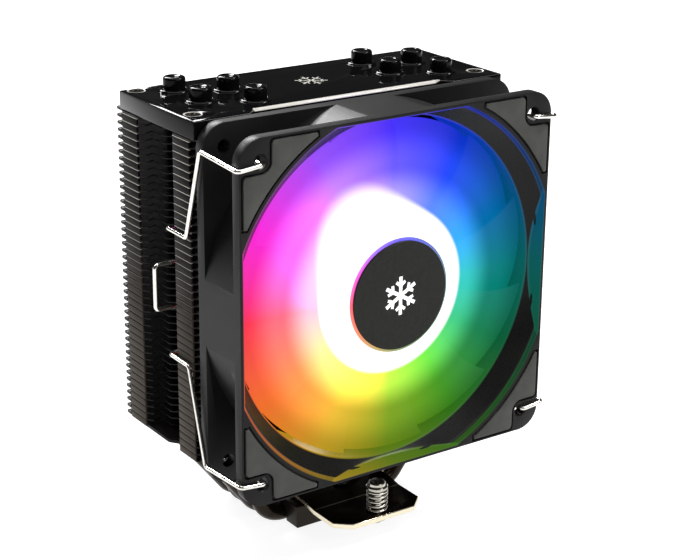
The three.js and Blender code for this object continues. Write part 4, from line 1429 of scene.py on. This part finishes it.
@dataclass
class Mounting:
    """The stamped bar across the base, its two fixing screws and the sprung screws at its ends."""

    bend_y: float = 29.6 * MM
    thickness: float = 2 * MM
    drop: float = 1.1 * MM
    corner_x: float = 5.5 * MM
    corner_y: float = 5 * MM
    edge: float = 0.4 * MM
    spring_turns: float = 4.0
    spring_radius: float = 3.3 * MM
    spring_wire: float = 0.45 * MM
    travel: float = 3 * MM
    # The bar's nickel paints highlights on its upright faces and along its creases.
    nickel: DarkNickel = DarkNickel("bar_nickel", crease_mm=29.6)
    screw_nickel: DarkNickel = DarkNickel("bar_screw_nickel", srgb(64, 58, 50), srgb(120, 108, 92), 0.18)
    steel: BrightSteel = BrightSteel("screw_plating", srgb(190, 186, 176), lines=(6, 6, 1))
    wire: BrightSteel = BrightSteel("spring_plating", roughness=0.2)

    def build_bar(self) -> None:
        """Makes the bar, bent down towards its ends, with chamfered corners and four holes."""
        low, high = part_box("mounting_bar")
        half_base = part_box("base_block")[1].y
        ends = high.z - self.drop
        top = [(low.y, ends), (-self.bend_y, ends), (-half_base, high.z),
               (half_base, high.z), (self.bend_y, ends), (high.y, ends)]
        section = top + [(y, z - self.thickness) for y, z in reversed(top)]
        upright = Matrix.Rotation(math.pi / 2, 4, "Z") @ Matrix.Rotation(math.pi / 2, 4, "X")
        strip = Workpiece().plate(section, low.x, high.x).moved(upright)
        half = [(high.x - self.corner_x, low.y), (high.x, low.y + self.corner_y),
                (high.x, high.y - self.corner_y), (high.x - self.corner_x, high.y)]
        plan = Workpiece().plate(half + [(-x, y) for x, y in reversed(half)], -1 * MM, high.z + 1 * MM)
        bar = strip.carved("INTERSECT", [plan])
        bar.bevel_sharp(self.edge, 3, above=60)
        holes = []
        for name, radius in (("bar_screw_1", 1.75), ("bar_screw_2", 1.75),
                             ("mount_screw_front", 2.35), ("mount_screw_rear", 2.35)):
            spot = sum(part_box(name), Vector()) / 2
            wide, under, over = radius * MM, -1 * MM, high.z + 1 * MM
            tool = Workpiece().lathe([(0, under), (wide, under), (wide, over), (0, over)], 32)
            holes.append(tool.moved(shift(spot.x, spot.y, 0)))
        bar.carved("DIFFERENCE", holes).piece(
            "bar", self.nickel, Body.COOLER, Slot.DARK_NICKEL, ["mounting_bar"]
        )

    def build_bar_screws(self) -> None:
        """Makes the two screws that hold the bar on the base."""
        for i in (1, 2):
            low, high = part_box(f"bar_screw_{i}")
            spot = (low + high) / 2
            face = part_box("mounting_bar")[1].z + 0.25 * MM
            profile = [(0, low.z), (1.3 * MM, low.z), (1.45 * MM, low.z + 0.3 * MM), (1.45 * MM, face),
                       (2.75 * MM, face), (2.75 * MM, face + 0.5 * MM)]
            profile += arc((1.95 * MM, face + 0.5 * MM), 0.8 * MM, 0, math.pi / 2, 5)[1:]
            profile += [(0, high.z)]
            head = Workpiece().lathe(profile, 40)
            head = head.carved("DIFFERENCE", cross_recess(1.5 * MM, 0.6 * MM, 1.0 * MM, high.z))
            head.moved(shift(spot.x, spot.y, 0)).piece(
                f"bar_screw_head_{i}", self.screw_nickel, Body.COOLER, Slot.DARK_NICKEL, [f"bar_screw_{i}"]
            )

    def build_sprung_screw(self, end: End, holder: Body) -> None:
        """Makes one sprung screw: a collared cross head over a shank with a groove for its clip."""
        node = f"mount_screw_{end.value}"
        low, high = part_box(node)
        spot = (low + high) / 2
        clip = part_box(f"e_clip_{end.value}")
        under = high.z - 2.6 * MM
        shank, neck, head = 2 * MM, 1.5 * MM, 3.75 * MM
        profile = [(0, low.z), (1.6 * MM, low.z), (shank, low.z + 0.4 * MM), (shank, clip[0].z - 0.25 * MM),
                   (neck, clip[0].z - 0.2 * MM), (neck, clip[1].z + 0.2 * MM), (shank, clip[1].z + 0.25 * MM),
                   (shank, under), (head - 0.2 * MM, under), (head, under + 0.2 * MM),
                   (head, under + 0.9 * MM), (head - 0.3 * MM, under + 1.25 * MM),
                   (head - 0.75 * MM, under + 1.35 * MM), (head - 0.85 * MM, under + 1.7 * MM)]
        profile += arc((head - 1.45 * MM, high.z - 0.6 * MM), 0.6 * MM, 0, math.pi / 2, 5)
        profile += [(0, high.z)]
        screw = Workpiece().lathe(profile, 48)
        screw = screw.carved("DIFFERENCE", cross_recess(1.9 * MM, 0.8 * MM, 1.3 * MM, high.z))
        screw.moved(shift(spot.x, spot.y, 0)).piece(
            f"sprung_screw_{end.value}", self.steel, holder, Slot.SCREW_STEEL, [node]
        )

    def build_spring(self, end: End) -> None:
        """Makes the coil spring with closed ends."""
        node = f"mount_spring_{end.value}"
        low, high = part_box(node)
        spot = (low + high) / 2
        bottom, top = low.z + self.spring_wire, high.z - self.spring_wire
        closed, per_turn = 0.6, 28
        count = int(per_turn * (self.spring_turns + 2 * closed))
        route = []
        for i in range(count + 1):
            turn = i / per_turn
            climb = min(max(turn - closed, 0), self.spring_turns) / self.spring_turns
            angle = FULL_TURN * turn
            route.append(Vector((
                spot.x + self.spring_radius * math.cos(angle),
                spot.y + self.spring_radius * math.sin(angle),
                bottom + (top - bottom) * climb,
            )))
        spring = Workpiece().sweep(route, self.spring_wire, 10).piece(
            f"spring_{end.value}", self.wire, Body.COOLER, Slot.WIRE_STEEL, [node], sharp=60
        )
        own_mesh(spring)

    def build_clip(self, end: End, holder: Body) -> None:
        """Makes the open retaining ring in the screw's groove, with its two inner prongs."""
        node = f"e_clip_{end.value}"
        low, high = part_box(node)
        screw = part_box(f"mount_screw_{end.value}")
        x, y = ((screw[0] + screw[1]) / 2).xy
        mouth = math.radians(70)
        start, stop = mouth / 2, FULL_TURN - mouth / 2
        outer = arc((x, y), 3.5 * MM, start, stop, 24)
        inner = arc((x, y), 2.5 * MM, stop, start, 24)
        ring = Workpiece().plate(outer + inner, low.z, high.z, bevel=0.12 * MM)
        for angle in (0.62 * math.pi, math.pi, 1.38 * math.pi):
            prong = Workpiece().block((1.75 * MM, -0.5 * MM, low.z + 0.05 * MM),
                                      (2.7 * MM, 0.5 * MM, high.z - 0.05 * MM), 0.1 * MM)
            ring.joined(prong.moved(shift(x, y, 0) @ Matrix.Rotation(angle, 4, "Z")))
        ring.piece(f"retaining_ring_{end.value}", self.steel, holder, Slot.SCREW_STEEL, [node])

    def build(self) -> None:
        """Makes the bar and what is fixed to it."""
        self.build_bar()
        self.build_bar_screws()
        for end, screw, retainer in (
            (End.FRONT, Body.SCREW_FRONT, Body.RETAINER_FRONT),
            (End.REAR, Body.SCREW_REAR, Body.RETAINER_REAR),
        ):
            self.build_sprung_screw(end, screw)
            self.build_spring(end)
            self.build_clip(end, retainer)


@dataclass
class FanCase:
    """The fan's square frame: two flanges joined by a barrel, a flared mouth, four struts and eight pads."""

    half: float = 60 * MM
    depth: float = 25 * MM
    corner: float = 8 * MM
    flange: float = 4 * MM
    barrel: float = 61 * MM
    bore: float = 57.8 * MM
    mouth: float = 64 * MM
    mouth_depth: float = 7.2 * MM
    lip: float = 1.2 * MM
    hole_half: float = 52.5 * MM
    hole: float = 2.25 * MM
    pad_arc: float = 66 * MM
    pad_inset: float = 1.3 * MM
    pad_end: float = 32.2 * MM
    pad_notch: float = 3.9 * MM
    pad_groove: float = 0.75 * MM
    pad_sink: float = 0.9 * MM
    steps: int = 160
    plastic: MouldedPlastic = MouldedPlastic("case_plastic")
    rubber: PadRubber = PadRubber("pad_rubber_grain")

    def __post_init__(self) -> None:
        """Reads where the fan stands from the frame."""
        low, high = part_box("fan_frame")
        self.rear_y = high.y
        self.centre_z = (low.z + high.z) / 2

    @property
    def stand(self) -> Matrix:
        """Takes a piece drawn lying down to its place in front of the fins."""
        return shift(0, self.rear_y, self.centre_z) @ Matrix.Rotation(math.pi / 2, 4, "X")

    def spots(self) -> list[tuple[float, float]]:
        """The centres of the four mounting holes."""
        reach = self.hole_half
        return [(-reach, -reach), (reach, -reach), (reach, reach), (-reach, reach)]

    def pad_outline(self, grow: float = 0.0, steps: int = 10) -> list[tuple[float, float]]:
        """One pad's outline, drawn for the corner at +X, +Y.

        Args:
            grow: How much wider it is than the pad itself, as for the pocket that the pad lies in.
            steps: Steps along each arc.

        Returns:
            The outline's points.
        """
        edge = self.half - self.pad_inset + grow
        notch_radius = self.pad_notch - grow
        notch = self.hole_half - notch_radius
        start = self.pad_end - grow
        radius = self.pad_arc - grow
        swing = math.asin(start / radius)
        ends = 2.6 * MM
        points = [(edge, start + 0.2 * MM), (edge, notch - ends / 2)]
        points += arc((edge - ends / 2, notch - ends / 2), ends / 2, 0, math.pi / 2, 3)[1:]
        points += arc((self.hole_half, self.hole_half), notch_radius, 1.44 * math.pi, 1.06 * math.pi, steps)
        points += arc((notch - ends / 2, edge - ends / 2), ends / 2, 0, math.pi / 2, 3)
        points += [(start + 0.2 * MM, edge)]
        points += arc((0, 0), radius, math.pi / 2 - swing, swing, steps * 2)
        return points

    def corner_turns(self) -> list[Matrix]:
        """Quarter turns that take a pad to each corner, in the order of the frame's nodes."""
        return [Matrix.Rotation(math.radians(a), 4, "Z") for a in (180, -90, 0, 90)]

    def mouth_tool(self) -> Workpiece:
        """The flared cut at the front, kept square where it would break through the flange."""
        rim = 0.5 * MM
        deep, front = self.depth - self.mouth_depth, self.depth
        cone, step = self.mouth - 1.1 * MM, front - 1.5 * MM
        profile = [(0, deep), (self.bore - 0.2 * MM, deep), (self.bore + 0.5 * MM, deep + 0.5 * MM),
                   (cone - 0.5 * MM, step - 0.4 * MM), (cone, step),
                   (self.mouth - 0.45 * MM, step + 0.15 * MM),
                   (self.mouth - 0.3 * MM, front - rim), (self.mouth, front - 0.12 * MM),
                   (self.mouth + 0.35 * MM, front + 0.01 * MM),
                   (self.mouth + 0.35 * MM, front + 1 * MM), (0, front + 1 * MM)]
        limit = self.half - self.lip
        square = Workpiece().block((-limit, -limit, 0), (limit, limit, front + 2 * MM))
        return Workpiece().lathe(profile, self.steps).carved("INTERSECT", [square])

    def bored(self, radius: float, low: float, high: float, sides: int) -> Workpiece:
        """A plain round tool between two heights."""
        return Workpiece().lathe([(0, low), (radius, low), (radius, high), (0, high)], sides)

    def build_case(self) -> None:
        """Makes the frame with its mouth, bore, holes and pad pockets."""
        outline = rounded_square(self.half, self.corner, 12)
        edge = 0.35 * MM
        case = Workpiece().plate(outline, 0, self.flange, bevel=edge)
        front = Workpiece().plate(outline, self.depth - self.flange, self.depth, bevel=edge)
        square = Workpiece().plate(outline, -1 * MM, self.depth + 1 * MM)
        barrel = self.bored(self.barrel, 0.5 * MM, self.depth - 0.5 * MM, self.steps)
        barrel = barrel.carved("INTERSECT", [square])
        case = case.carved("UNION", [front, barrel])
        tools = [self.mouth_tool(), self.bored(self.bore, -1 * MM, self.depth + 1 * MM, self.steps)]
        for x, y in self.spots():
            flare = self.hole + 0.35 * MM
            profile = [(0, -1 * MM), (flare, -1 * MM), (flare, -0.01 * MM), (self.hole, 0.35 * MM),
                       (self.hole, self.depth - 0.35 * MM), (flare, self.depth + 0.01 * MM),
                       (flare, self.depth + 1 * MM), (0, self.depth + 1 * MM)]
            tools.append(Workpiece().lathe(profile, 32).moved(shift(x, y, 0)))
        for turn in self.corner_turns():
            pocket = Workpiece().plate(
                self.pad_outline(self.pad_groove), self.depth - self.pad_sink, self.depth + 2 * MM
            )
            tools.append(pocket.moved(turn))
        case = case.carved("DIFFERENCE", tools)
        lit = LitCase("case_lit_plastic", centre=(0.0, self.rear_y, self.centre_z))
        case.moved(self.stand).piece(
            "fan_case", lit, Body.COOLER, Slot.FRAME_PLASTIC, ["fan_frame"], sharp=28
        )

    def build_web(self) -> None:
        """Makes the four struts, the motor plate and the bearing tube behind the rotor."""
        plate = 20.5 * MM
        web = Workpiece().lathe(
            [(1.9 * MM, 0.2 * MM), (plate - 0.6 * MM, 0.2 * MM), (plate, 0.8 * MM), (plate, 3.2 * MM),
             (plate - 0.9 * MM, 3.2 * MM), (plate - 0.9 * MM, 2.2 * MM), (4.5 * MM, 2.2 * MM),
             (4.5 * MM, 16.8 * MM), (4.2 * MM, 17 * MM), (3.2 * MM, 17 * MM), (3.2 * MM, 2.4 * MM),
             (1.9 * MM, 2.4 * MM)], 64, closed=True)
        for i in range(4):
            strut = Workpiece().block(
                (plate - 0.8 * MM, -2.5 * MM, 0.3 * MM), (self.bore + 0.8 * MM, 2.5 * MM, 3 * MM), 0.5 * MM)
            web.joined(strut.moved(Matrix.Rotation(math.radians(45 + 90 * i), 4, "Z")))
        web.moved(self.stand).piece("fan_web", self.plastic, Body.COOLER, Slot.FRAME_PLASTIC, ["fan_frame"])

    def build_pads(self) -> None:
        """Makes the soft pads in the corners of both flanges."""
        sides = (("front", self.depth - self.pad_sink + 0.1 * MM, self.depth + 0.35 * MM),
                 ("rear", -0.75 * MM, -0.1 * MM))
        for face, low, high in sides:
            for i, turn in enumerate(self.corner_turns(), 1):
                pad = Workpiece().plate(self.pad_outline(), low, high, bevel=0.25 * MM)
                pad.moved(self.stand @ turn).piece(
                    f"{face}_corner_pad_{i}", self.rubber, Body.COOLER, Slot.PAD_RUBBER, [f"{face}_pad_{i}"]
                )

    def build(self) -> None:
        """Makes the case, its web and the pads."""
        self.build_case()
        self.build_web()
        self.build_pads()


@dataclass
class Rotor:
    """The lit rotor: a frosted hub with eleven blades and a black disc on its face."""

    case: FanCase
    radius: float = 19.4 * MM
    rear: float = 5 * MM
    front: float = 24 * MM
    wall: float = 1.7 * MM
    face: float = 2 * MM
    blades: int = 11
    tip: float = 56.5 * MM
    thickness: float = 1.1 * MM
    span: float = math.radians(58)
    taper: float = 0.27
    sweep: float = math.radians(14)
    rise: float = 10.5 * MM
    blade_rear: float = 8 * MM
    glow_depth: float = 19.5 * MM
    # The colours run on from blade to blade as seen from this fixed point.
    # The studio camera stands there too, but the colours don't follow it.
    glow_source: tuple[float, float, float] = (-0.3176, -0.4773, 0.2861)
    disc: float = 18.25 * MM

    def finishes(self) -> tuple[LitBlades, LitHub]:
        """The two lit finishes, centred on the fan's axis."""
        middle = (0.0, self.case.rear_y - self.glow_depth, self.case.centre_z)
        return LitBlades("lit_blades", middle, self.glow_source), LitHub("lit_hub", middle)

    def build_hub(self, finish: LitHub) -> None:
        """Makes the hollow hub cup with its rounded rim."""
        inner, back = self.radius - self.wall, self.front - self.face
        rim = 0.5 * MM
        profile = [(inner, self.rear), (self.radius, self.rear), (self.radius, self.front - rim)]
        profile += arc((self.radius - rim, self.front - rim), rim, 0, math.pi / 2, 5)[1:]
        profile += [(0, self.front), (0, back), (1.8 * MM, back), (1.8 * MM, back - 2.4 * MM),
                    (3.2 * MM, back - 2.4 * MM), (3.2 * MM, back), (inner, back)]
        hub = Workpiece().lathe(profile, 96, closed=True)
        hub.moved(self.case.stand).piece("rotor_hub", finish, Body.ROTOR, Slot.LIT_PLASTIC, ["rotor"])

    def blade_place(self, along: float, across: float, depth: float) -> Vector:
        """A point of a blade.

        Args:
            along: Share of the way from hub to tip.
            across: Share of the way from the rear edge to the front edge.
            depth: Share of the way through the blade.

        Returns:
            The point, in the fan's lying frame.
        """
        root = self.radius - 0.6 * MM
        radius = root + (self.tip - root) * along
        angle = self.span * (1 - self.taper * along) * across + self.sweep * along * along
        rise = self.rise * (1 - 0.3 * along) * (across + 0.12 * math.sin(math.pi * across))
        height = self.blade_rear + 1.5 * MM * along + rise + self.thickness * depth
        return Vector((radius * math.cos(angle), radius * math.sin(angle), height))

    def build_blades(self, finish: LitBlades) -> None:
        """Makes the curved blades."""
        work = Workpiece()
        grid = bmesh.ops.create_grid(work.mesh, x_segments=14, y_segments=12, size=0.5)["verts"]
        faces = work.mesh.faces[:]
        raised = bmesh.ops.extrude_face_region(work.mesh, geom=faces)["geom"]
        upper = {part for part in raised if isinstance(part, bmesh.types.BMVert)}
        for vert in work.mesh.verts:
            along, across = vert.co.x + 0.5, vert.co.y + 0.5
            vert.co = self.blade_place(along, across, 1.0 if vert in upper else 0.0)
        assert len(grid) * 2 == len(work.mesh.verts)
        bmesh.ops.recalc_face_normals(work.mesh, faces=work.mesh.faces[:])
        work.bevel_sharp(0.3 * MM, 2, above=50)
        work.repeated([Matrix.Rotation(FULL_TURN * i / self.blades, 4, "Z") for i in range(1, self.blades)])
        work.moved(self.case.stand).piece("rotor_blades", finish, Body.ROTOR, Slot.LIT_PLASTIC, ["rotor"], 50)

    def build_disc(self) -> None:
        """Makes the black disc and the snowflake printed on it."""
        low, thick = self.front + 0.2 * MM, 0.55 * MM
        profile = [(0, low), (self.disc, low), (self.disc, low + thick - 0.15 * MM),
                   (self.disc - 0.15 * MM, low + thick), (0, low + thick)]
        Workpiece().lathe(profile, 96).moved(self.case.stand).piece(
            "rotor_disc", DiscFilm("disc_film"), Body.ROTOR, Slot.DISC_BLACK, ["hub_disc"]
        )
        mark = snowflake(13 * MM, 1.25 * MM).moved(self.case.stand @ shift(0, 0, low + thick))
        mark.piece("disc_snowflake", PrintedInk("disc_ink"), Body.ROTOR, Slot.DISC_BLACK)

    def dress_motor(self) -> None:
        """Gives the motor's own nodes, which keep their shape, their finishes."""
        steel = LayeredMetal("motor_laminations")
        turned = LayeredMetal("turned_steel", srgb(180, 180, 182), srgb(150, 150, 152), 0.12, 0.006, 0.2)
        brass = LayeredMetal("sleeve_brass", srgb(196, 160, 92), srgb(150, 118, 62), 0.2, 0.01, 0.3)
        copper = LayeredMetal("winding_copper", srgb(190, 104, 62), srgb(96, 46, 26), 0.3, 0.08, 0.3)
        pressed = SpeckledSolid("magnet_powder")
        mask = SpeckledSolid("solder_mask", srgb(20, 82, 48), srgb(34, 112, 66), 1.4, 0.4)
        lens = SpeckledSolid("diode_lens", srgb(238, 240, 232), srgb(255, 250, 226), 0.4, 0.3, 0.8)
        dressed: dict[str, Finish] = {
            "rotor_yoke": turned, "magnet_ring": pressed, "fan_shaft": turned, "bearing_sleeve": brass,
            "shaft_clip": turned, "stator_core": steel, "circuit_board": mask,
            **{f"stator_coil_{i}": copper for i in range(1, 5)},
            **{f"led_{i}": lens for i in range(1, 5)},
        }
        for name, finish in dressed.items():
            node = bpy.data.objects[name]
            node.data.materials.clear()
            node.data.materials.append(finish.material())

    def build(self) -> None:
        """Makes the rotor and dresses the motor inside it."""
        blades, hub = self.finishes()
        self.build_hub(hub)
        self.build_blades(blades)
        self.build_disc()
        self.dress_motor()


@dataclass
class WireClips:
    """The two bent wires that hold the fan against the tower."""

    case: FanCase
    tower: FinTower
    wire: float = 0.75 * MM
    bend: float = 1.3 * MM
    standoff: float = 1.2 * MM
    tip: float = 2.2 * MM
    catch_high: float = 22.4 * MM
    catch_low: float = -20.6 * MM
    grip_high: float = 11 * MM
    grip_low: float = -4 * MM
    grip_out: float = 6.6 * MM
    steel: BrightSteel = BrightSteel("clip_plating", srgb(232, 230, 224), 0.14)

    def route(self, side: int) -> list[Vector]:
        """The corners of one clip's wire, from the upper mounting hole to the lower one."""
        case = self.case
        beside = case.half + self.standoff
        tower_side = self.tower.high.x
        front = case.rear_y - case.depth - self.standoff
        behind_flange = case.rear_y - case.flange - 0.5 * MM
        column_start, column_end = self.tower.columns()[0]
        catch_y = column_end + self.wire + 0.9 * MM
        groove = tower_side - 3 * MM
        hole = case.hole_half - 0.6 * MM

        def branch(sign: int, catch: float, grip: float) -> list[tuple[float, float, float]]:
            """The corners from a mounting hole to the grip."""
            inner = catch - sign * 0.5 * MM
            return [
                (case.hole_half, front + self.standoff + self.tip, sign * hole),
                (case.hole_half, front, sign * hole),
                (beside, front, sign * (hole - 0.9 * MM)),
                (beside, behind_flange, sign * (hole + 0.4 * MM)),
                (tower_side + self.standoff + 0.2 * MM, column_start + 0.6 * MM, catch),
                (tower_side + self.standoff, catch_y + 1.2 * MM, catch),
                (groove, catch_y + 1.1 * MM, inner),
                (groove, catch_y, inner - sign * 1.5 * MM),
                (groove, catch_y, grip),
                (tower_side + self.grip_out, catch_y, grip),
            ]

        upper = branch(1, self.catch_high, self.grip_high)
        lower = list(reversed(branch(-1, self.catch_low, self.grip_low)))
        return [Vector((side * x, y, case.centre_z + z)) for x, y, z in upper + lower]

    def build(self) -> None:
        """Makes both clips."""
        for side, name, body in ((-1, "left", Body.CLIP_LEFT), (1, "right", Body.CLIP_RIGHT)):
            route = rounded_route(self.route(side), self.bend, 6)
            Workpiece().sweep(route, self.wire, 12).piece(
                f"clip_{name}", self.steel, body, Slot.WIRE_STEEL, [f"wire_clip_{name}"], sharp=60
            )


# ---------------------------------------------------------------------------
# Studio
# ---------------------------------------------------------------------------
@dataclass(frozen=True)
class Softbox:
    """A square lamp that faces a point of the cooler."""

    name: str
    place: tuple[float, float, float]
    aim: tuple[float, float, float]
    size: tuple[float, float]
    power: float
    tint: Colour = (1.0, 1.0, 1.0)

    def hang(self) -> None:
        """Adds the lamp."""
        lamp = bpy.data.lights.new(self.name, "AREA")
        lamp.shape = "RECTANGLE"
        lamp.size, lamp.size_y = self.size
        lamp.energy = self.power
        lamp.color = self.tint
        holder = bpy.data.objects.new(self.name, lamp)
        holder.location = self.place
        holder.rotation_mode = "QUATERNION"
        holder.rotation_quaternion = (Vector(self.aim) - Vector(self.place)).to_track_quat("-Z", "Y")
        bpy.context.scene.collection.objects.link(holder)


@dataclass
class Studio:
    """The pale floor, the soft lights and the camera."""

    floor_half: float = 8.0
    floor_z: float = -0.3 * MM
    world_level: float = 0.035
    camera_place: tuple[float, float, float] = (-0.3176, -0.4773, 0.2861)
    heading: tuple[float, float, float] = (0.540, 0.771, -0.338)
    roll: float = math.radians(0.6)
    lens: float = 90.8
    lamps: tuple[Softbox, ...] = (
        Softbox("overhead", (0.1, 0.1, 1.5), (0, 0, 0), (1.4, 1.4), 16.0),
        Softbox("rear_edge", (-0.45, 1.2, 0.93), (0, 0, 0.1), (0.9, 0.1), 10.0),
        Softbox("rear_top", (0.28, 1.2, 1.02), (0, 0, 0.14), (0.5, 0.45), 22.0),
        Softbox("right_edge", (0.83, -0.51, 1.28), (0, 0, 0.13), (0.5, 0.22), 13.0),
        Softbox("front_key", (0.35, -1.3, 0.9), (0, 0, 0.09), (0.9, 0.7), 7.0),
    )

    def build_floor(self) -> None:
        """Lays the paper."""
        half = self.floor_half
        sheet = Workpiece()
        bmesh.ops.create_grid(
            sheet.mesh, x_segments=2, y_segments=2, size=half, matrix=shift(0, 0, self.floor_z)
        )
        data = bpy.data.meshes.new("floor")
        sheet.mesh.to_mesh(data)
        sheet.mesh.free()
        floor = bpy.data.objects.new("floor", data)
        data.materials.append(PaleFloor("floor_paper").material())
        bpy.context.scene.collection.objects.link(floor)

    def build_world(self) -> None:
        """Dims the room, so that the lacquer has something dark to mirror."""
        world = bpy.data.worlds.new("room")
        world.use_nodes = True
        background = world.node_tree.nodes["Background"]
        level = self.world_level
        background.inputs["Color"].default_value = (level, level, level * 1.02, 1.0)
        bpy.context.scene.world = world

    def place_camera(self) -> None:
        """Sets the camera up."""
        lens = bpy.data.cameras.new("camera")
        lens.lens = self.lens
        lens.sensor_width = 36.0
        lens.clip_start, lens.clip_end = 0.01, 20.0
        holder = bpy.data.objects.new("camera", lens)
        holder.location = self.camera_place
        facing = Vector(self.heading).to_track_quat("-Z", "Y").to_matrix()
        facing = facing @ Matrix.Rotation(self.roll, 3, "Z")
        holder.rotation_euler = facing.to_euler()
        bpy.context.scene.collection.objects.link(holder)
        bpy.context.scene.camera = holder

    def build(self) -> None:
        """Sets the studio up."""
        self.build_floor()
        self.build_world()
        for lamp in self.lamps:
            lamp.hang()
        self.place_camera()
        bpy.context.scene.view_settings.view_transform = "Standard"


def main() -> None:
    """Builds the cooler around its frame."""
    logging.basicConfig(level=logging.INFO, format="%(name)s: %(message)s")
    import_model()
    Studio().build()
    tower = FinTower()
    tower.build()
    HeatPipes().build()
    Base().build()
    TopCover().build()
    Mounting().build()
    case = FanCase()
    case.build()
    Rotor(case).build()
    WireClips(case, tower).build()


if __name__ == "__main__":
    main()
